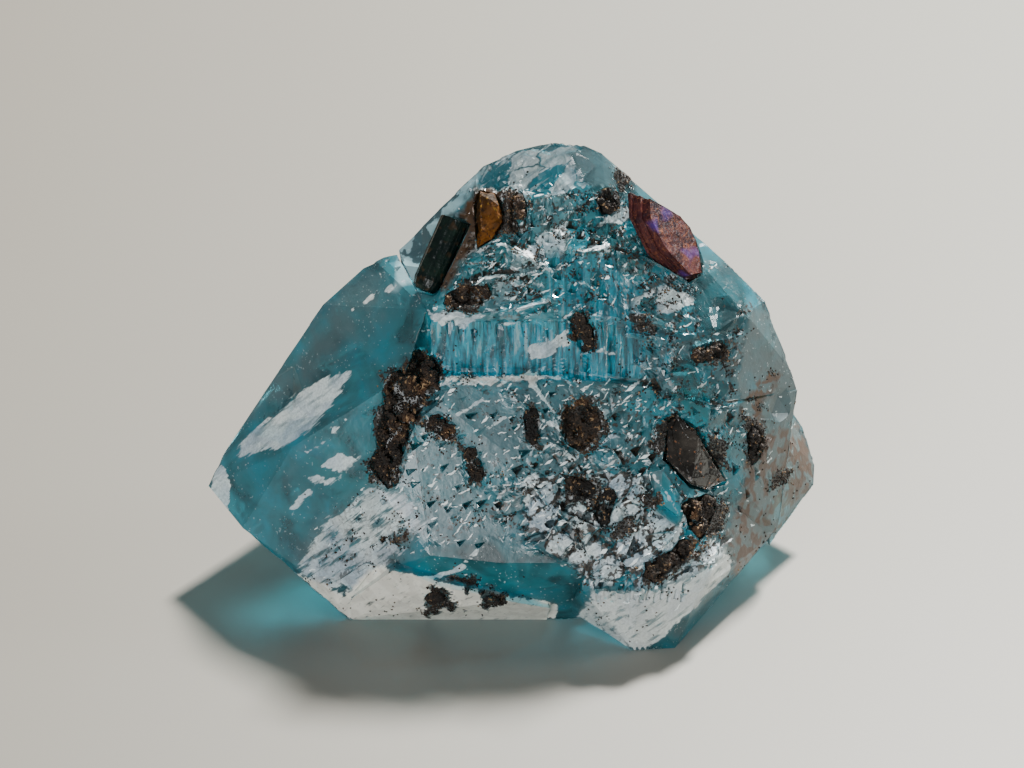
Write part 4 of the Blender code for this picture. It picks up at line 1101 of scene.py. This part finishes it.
# Geometry Nodes.
def scatter_tree(name, material, sliver):
    """A tree that scatters grains on a surface, or lays slivers along the rows of pits."""
    tree = bpy.data.node_groups.new(name, "GeometryNodeTree")
    tree.interface.new_socket("Geometry", in_out="INPUT", socket_type="NodeSocketGeometry")
    for label, kind in (
        ("Density", "NodeSocketFloat"), ("Smallest", "NodeSocketVector"), ("Largest", "NodeSocketVector"),
        ("Wear", "NodeSocketFloat"), ("Seed", "NodeSocketInt"),
    ):
        tree.interface.new_socket(label, in_out="INPUT", socket_type=kind)
    tree.interface.new_socket("Geometry", in_out="OUTPUT", socket_type="NodeSocketGeometry")
    paint = Painter(tree)
    start = paint.node("NodeGroupInput")
    share = paint.node("GeometryNodeInputNamedAttribute", {"Name": "share"}, data_type="FLOAT")
    density = paint.math("MULTIPLY", start.outputs["Density"], share.outputs["Attribute"])
    spread = paint.node("GeometryNodeDistributePointsOnFaces", {
        "Mesh": start.outputs["Geometry"], "Density": density, "Seed": start.outputs["Seed"],
    })
    if sliver:
        grain = paint.node("GeometryNodeMeshCylinder", {"Vertices": 4, "Radius": 1.0, "Depth": 1.0})
        upright = paint.node("FunctionNodeAlignRotationToVector", {
            "Vector": spread.outputs["Normal"],
        }, axis="Z")
        rise = math.sin(PIT_DIRECTION)
        row = (math.cos(PIT_DIRECTION), rise * math.sin(SIGHT_ELEVATION), rise * math.cos(SIGHT_ELEVATION))
        least, most = (tuple(value + sway for value in row) for sway in (-0.3, 0.3))
        leaning = paint.random(least, most, start.outputs["Seed"])
        turn = paint.node("FunctionNodeAlignRotationToVector", {
            "Rotation": upright.outputs["Rotation"], "Vector": leaning,
        }, axis="X", pivot_axis="Z").outputs["Rotation"]
    else:
        grain = paint.node("GeometryNodeMeshCube", {"Size": (1.7, 1.7, 1.7)})
        turn = paint.random((0.0, 0.0, 0.0), (math.tau, math.tau, math.tau), start.outputs["Seed"])
    size_seed = paint.math("ADD", start.outputs["Seed"], 1.0)
    placed = paint.node("GeometryNodeInstanceOnPoints", {
        "Points": spread.outputs["Points"], "Instance": grain.outputs["Mesh"], "Rotation": turn,
        "Scale": paint.random(start.outputs["Smallest"], start.outputs["Largest"], size_seed),
    })
    solid = paint.node("GeometryNodeRealizeInstances", {"Geometry": placed.outputs["Instances"]})
    wobble = paint.sway(paint.node("GeometryNodeInputPosition").outputs["Position"], 2600.0, 1.0)
    scaled = paint.node("ShaderNodeVectorMath", operation="SCALE")
    paint.put(scaled.inputs[0], wobble)
    paint.put(scaled.inputs["Scale"], start.outputs["Wear"])
    worn = paint.node("GeometryNodeSetPosition", {
        "Geometry": solid.outputs["Geometry"], "Offset": scaled.outputs["Vector"],
    })
    done = paint.node("GeometryNodeSetMaterial", {"Geometry": worn.outputs["Geometry"]})
    done.inputs["Material"].default_value = material
    paint.node("NodeGroupOutput", {"Geometry": done.outputs["Geometry"]})
    return tree


def scatter(name, mesh, tree, values):
    """Runs a tree on a host mesh, and turns the result into a plain mesh."""
    thing = link(name, mesh)
    modifier = thing.modifiers.new("scatter", "NODES")
    modifier.node_group = tree
    for item in tree.interface.items_tree:
        if item.in_out == "INPUT" and item.name in values:
            modifier[item.identifier] = values[item.name]
    depsgraph = bpy.context.evaluated_depsgraph_get()
    made = bpy.data.meshes.new_from_object(thing.evaluated_get(depsgraph), depsgraph=depsgraph)
    thing.modifiers.remove(modifier)
    thing.data = made
    if len(made.polygons) == 0:
        raise RuntimeError(f"{name} has no faces")
    return thing


def host_mesh(mesh, share):
    """A copy of a mesh whose share attribute says how thickly things lie on it."""
    host = mesh.copy()
    layer = host.attributes.new("share", "FLOAT", "POINT")
    layer.data.foreach_set("value", share)
    return host


def settle(piece, slot, *nodes):
    """Fixes a finished piece to the stone's body."""
    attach(piece, BODY)
    if nodes:
        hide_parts(*nodes)


def evenly_refined(name, reach):
    """The corners and triangles of a solid, with no edge longer than reach, in mm."""
    return refine(*node_triangles(name), lambda _, triangles: np.full(len(triangles), reach))


def fine_mineral(name, reach, depth_at):
    """A finer copy of a mineral's solid, worn by depth_at(points, normals), in mm."""
    points, faces = evenly_refined(name, reach)
    normals = corner_normals(points, faces)
    return mesh_from(name, points - normals * depth_at(points, normals)[:, None], faces)


# Operators.
class TOPAZ_OT_crystal(bpy.types.Operator):
    """Make the stone with its etched and frosted surface"""

    bl_idname = "topaz.crystal"
    bl_label = "Crystal"

    def execute(self, context):
        settings = context.scene.topaz_stone
        piece = link("topaz", crystal_mesh(settings))
        piece.data.materials.append(topaz_material(settings))
        settle(piece, "blue_topaz", "topaz_crystal")
        return {"FINISHED"}


class TOPAZ_OT_crusts(bpy.types.Operator):
    """Grow the brown crusts as grains on their solids, and the loose grains round them"""

    bl_idname = "topaz.crusts"
    bl_label = "Crusts"

    def execute(self, context):
        settings = context.scene.topaz_crust
        material = crust_material(settings)
        tree = scatter_tree("crust_grains", material, sliver=False)
        sizes = {
            "Density": settings.density, "Smallest": (settings.smallest,) * 3,
            "Largest": (settings.largest,) * 3, "Wear": GRAIN_WEAR,
        }
        names = [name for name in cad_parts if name.endswith("crust") or "crust_" in name]
        for seed, name in enumerate(sorted(names)):
            points, faces = evenly_refined(name, CRUST_REACH)
            across, up = sight_of(points)
            holes = np.clip(rough_noise(across / 1.2, up / 1.2, 95) * 11 - 5.1, 0.0, 1)
            holes *= np.clip((points[:, 2] - CRUST_FOOT) / 0.2, 0, 1)
            host = host_mesh(mesh_from(name, points, faces), holes)
            grains = scatter(name + "_grains", host, tree, {**sizes, "Seed": seed})
            settle(grains, "brown_iron_crust", name)
        stone = bpy.data.objects["topaz"].data
        share = painted_mark(stone, "crumb")
        places = corners_of(stone)
        across, up = sight_of(places)
        clumps = np.clip(rough_noise(across / 1.5, up / 1.5, 90) * 9 - 4.9, 0, 1)
        _, _, _, seam = plate_cells(across, up)
        clumps *= np.clip(1.5 - seam / 0.2, 0, 1)
        clumps = np.where(share > 1.5, 0.5, clumps) * np.clip(places[:, 2] - 0.8, 0, 1)
        loose = scatter("loose_crust_grains", host_mesh(stone, share * clumps), tree, {
            **sizes, "Density": settings.loose_density, "Largest": (settings.largest * 0.55,) * 3, "Seed": 99,
        })
        settle(loose, "brown_iron_crust")
        return {"FINISHED"}


class TOPAZ_OT_slivers(bpy.types.Operator):
    """Lay the white walls of the etch pits as thin slivers in their rows, their white partly a painted
    highlight
    """

    bl_idname = "topaz.slivers"
    bl_label = "Slivers"

    def execute(self, context):
        settings = context.scene.topaz_sliver
        material = sliver_material(context.scene.topaz_stone)
        stone = bpy.data.objects["topaz"].data
        share = painted_mark(stone, "sliver")
        tree = scatter_tree("pit_slivers", material, sliver=True)
        piece = scatter("frosted_highlight_slivers", host_mesh(stone, share), tree, {
            "Density": settings.density,
            "Smallest": (settings.length * 0.12, settings.width * 0.15, 0.0001),
            "Largest": (settings.length * 0.5, settings.width * 0.5, 0.00022),
            "Wear": SLIVER_WEAR,
            "Seed": 5,
        })
        settle(piece, "blue_topaz")
        return {"FINISHED"}


class TOPAZ_OT_minerals(bpy.types.Operator):
    """Make the dark prism, the orange grain, the sheeted flake and the smoky grain"""

    bl_idname = "topaz.minerals"
    bl_label = "Minerals"

    def execute(self, context):
        settings = context.scene.topaz_mineral

        def ribbed(points, _):
            middle = points.mean(axis=0)
            _, _, axes = np.linalg.svd(points - middle, full_matrices=False)
            local = (points - middle) @ axes.T
            angle = np.arctan2(local[:, 2], local[:, 1])
            ribs = soft_noise(angle * 9.0 + 60, local[:, 0] / 7.0 + 20, 5)
            return 0.06 * ribs + 0.12 * rough_noise(local[:, 0] / 1.4, angle * 2.0 + 20, 9)

        def granular(points, normals):
            x, y = side_places(points, normals)
            return 0.7 * (rough_noise(x / 1.1, y / 1.1, 30) - 0.4)

        def sheeted(points, _):
            across, up = sight_of(points)
            return 0.16 * rough_noise(across / 0.8, up / 0.8, 44)

        def worn(points, normals):
            x, y = side_places(points, normals)
            own, to_x, to_y, _ = cells(x / 2.2, y / 2.2, 80)
            return 0.25 * own + 0.12 * (to_x + to_y) + 0.12

        for node, reach, wear, material, slot in (
            ("tourmaline_prism", 0.32, ribbed, tourmaline_material, "green_black_tourmaline"),
            ("garnet_grain", 0.26, granular, garnet_material, "orange_garnet"),
            ("mica_book", 0.34, sheeted, mica_material, "purple_mica"),
            ("smoky_quartz_grain", 0.3, worn, quartz_material, "smoky_quartz"),
        ):
            piece = link(node + "_fine", fine_mineral(node, reach, wear))
            piece.data.materials.append(material(settings))
            settle(piece, slot, node)
        return {"FINISHED"}


class TOPAZ_OT_stage(bpy.types.Operator):
    """Set the floor, the lights and the camera"""

    bl_idname = "topaz.stage"
    bl_label = "Stage"

    def execute(self, context):
        settings = context.scene.topaz_stage
        scene = context.scene
        bpy.ops.mesh.primitive_plane_add(size=3.0)
        floor = bpy.context.object
        floor.name = "floor"
        material, paint, shader, _ = new_material("floor")
        place = paint.object_place()
        # Painted light: the floor turns from its colour to a lighter one towards the right.
        across = paint.node("ShaderNodeSeparateXYZ", {"Vector": place}).outputs["X"]
        uneven = paint.both(paint.noise(place, 6.0, 2.0), 0.1)
        tone = paint.math("ADD", paint.step(across, -0.15, 0.2), uneven)
        colour = paint.mix(tone, settings.floor_colour, settings.floor_painted_light)
        paint.put(shader.inputs["Base Color"], colour)
        shader.inputs["Roughness"].default_value = 0.5
        floor.data.materials.append(material)
        world = bpy.data.worlds.new("studio")
        scene.world = world
        world.use_nodes = True
        sky = world.node_tree.nodes["Background"]
        sky.inputs["Color"].default_value = (1.0, 0.97, 0.93, 1.0)
        sky.inputs["Strength"].default_value = settings.sky_strength
        for name, place, size, power, colour in (
            ("back_light", (0.32, 0.6, 0.9), 0.14, 68.0, (1.0, 0.97, 0.92)),
            ("front_fill", (-0.45, -1.0, 0.42), 0.5, 10.0, (0.95, 0.98, 1.0)),
            ("low_fill", (-0.1, -0.7, 0.07), 0.25, 0.9, (1.0, 0.97, 0.92)),
            ("side_light", (0.9, 0.1, 0.45), 0.25, 5.0, (0.96, 1.0, 0.98)),
        ):
            data = bpy.data.lights.new(name, "AREA")
            data.size = size
            data.energy = power
            data.color = colour
            lamp = link(name, data)
            lamp.location = place
            lamp.rotation_euler = (LIGHT_AIM - Vector(place)).to_track_quat("-Z", "Y").to_euler()
        camera = link("camera", bpy.data.cameras.new("camera"))
        camera.data.lens = settings.camera_lens
        forward = Vector((0, math.cos(SIGHT_ELEVATION), -math.sin(SIGHT_ELEVATION)))
        camera.location = Vector(settings.camera_target) - forward * settings.camera_distance
        camera.rotation_euler = forward.to_track_quat("-Z", "Y").to_euler()
        scene.camera = camera
        return {"FINISHED"}


class TOPAZ_PT_panel(bpy.types.Panel):
    """The pieces and their settings"""

    bl_label = "Topaz crystal"
    bl_idname = "TOPAZ_PT_panel"
    bl_space_type = "VIEW_3D"
    bl_region_type = "UI"
    bl_category = "Topaz"

    def draw(self, context):
        for operator in OPERATORS:
            self.layout.operator(operator.bl_idname)
        for group in SETTINGS:
            box = self.layout.box()
            held = getattr(context.scene, group)
            for name in SETTINGS[group].__annotations__:
                box.prop(held, name)


SETTINGS = {
    "topaz_stone": TopazSettings,
    "topaz_crust": CrustSettings,
    "topaz_sliver": SliverSettings,
    "topaz_mineral": MineralSettings,
    "topaz_stage": StageSettings,
}
OPERATORS = (TOPAZ_OT_crystal, TOPAZ_OT_crusts, TOPAZ_OT_slivers, TOPAZ_OT_minerals, TOPAZ_OT_stage)


def register():
    for name, group in SETTINGS.items():
        bpy.utils.register_class(group)
        setattr(bpy.types.Scene, name, bpy.props.PointerProperty(type=group))
    for operator in OPERATORS:
        bpy.utils.register_class(operator)
    bpy.utils.register_class(TOPAZ_PT_panel)


def unregister():
    bpy.utils.unregister_class(TOPAZ_PT_panel)
    for operator in reversed(OPERATORS):
        bpy.utils.unregister_class(operator)
    for name, group in SETTINGS.items():
        delattr(bpy.types.Scene, name)
        bpy.utils.unregister_class(group)


def main():
    register()
    bpy.ops.topaz.crystal()
    bpy.ops.topaz.crusts()
    bpy.ops.topaz.slivers()
    bpy.ops.topaz.minerals()
    bpy.ops.topaz.stage()


if __name__ == "__main__":
    main()
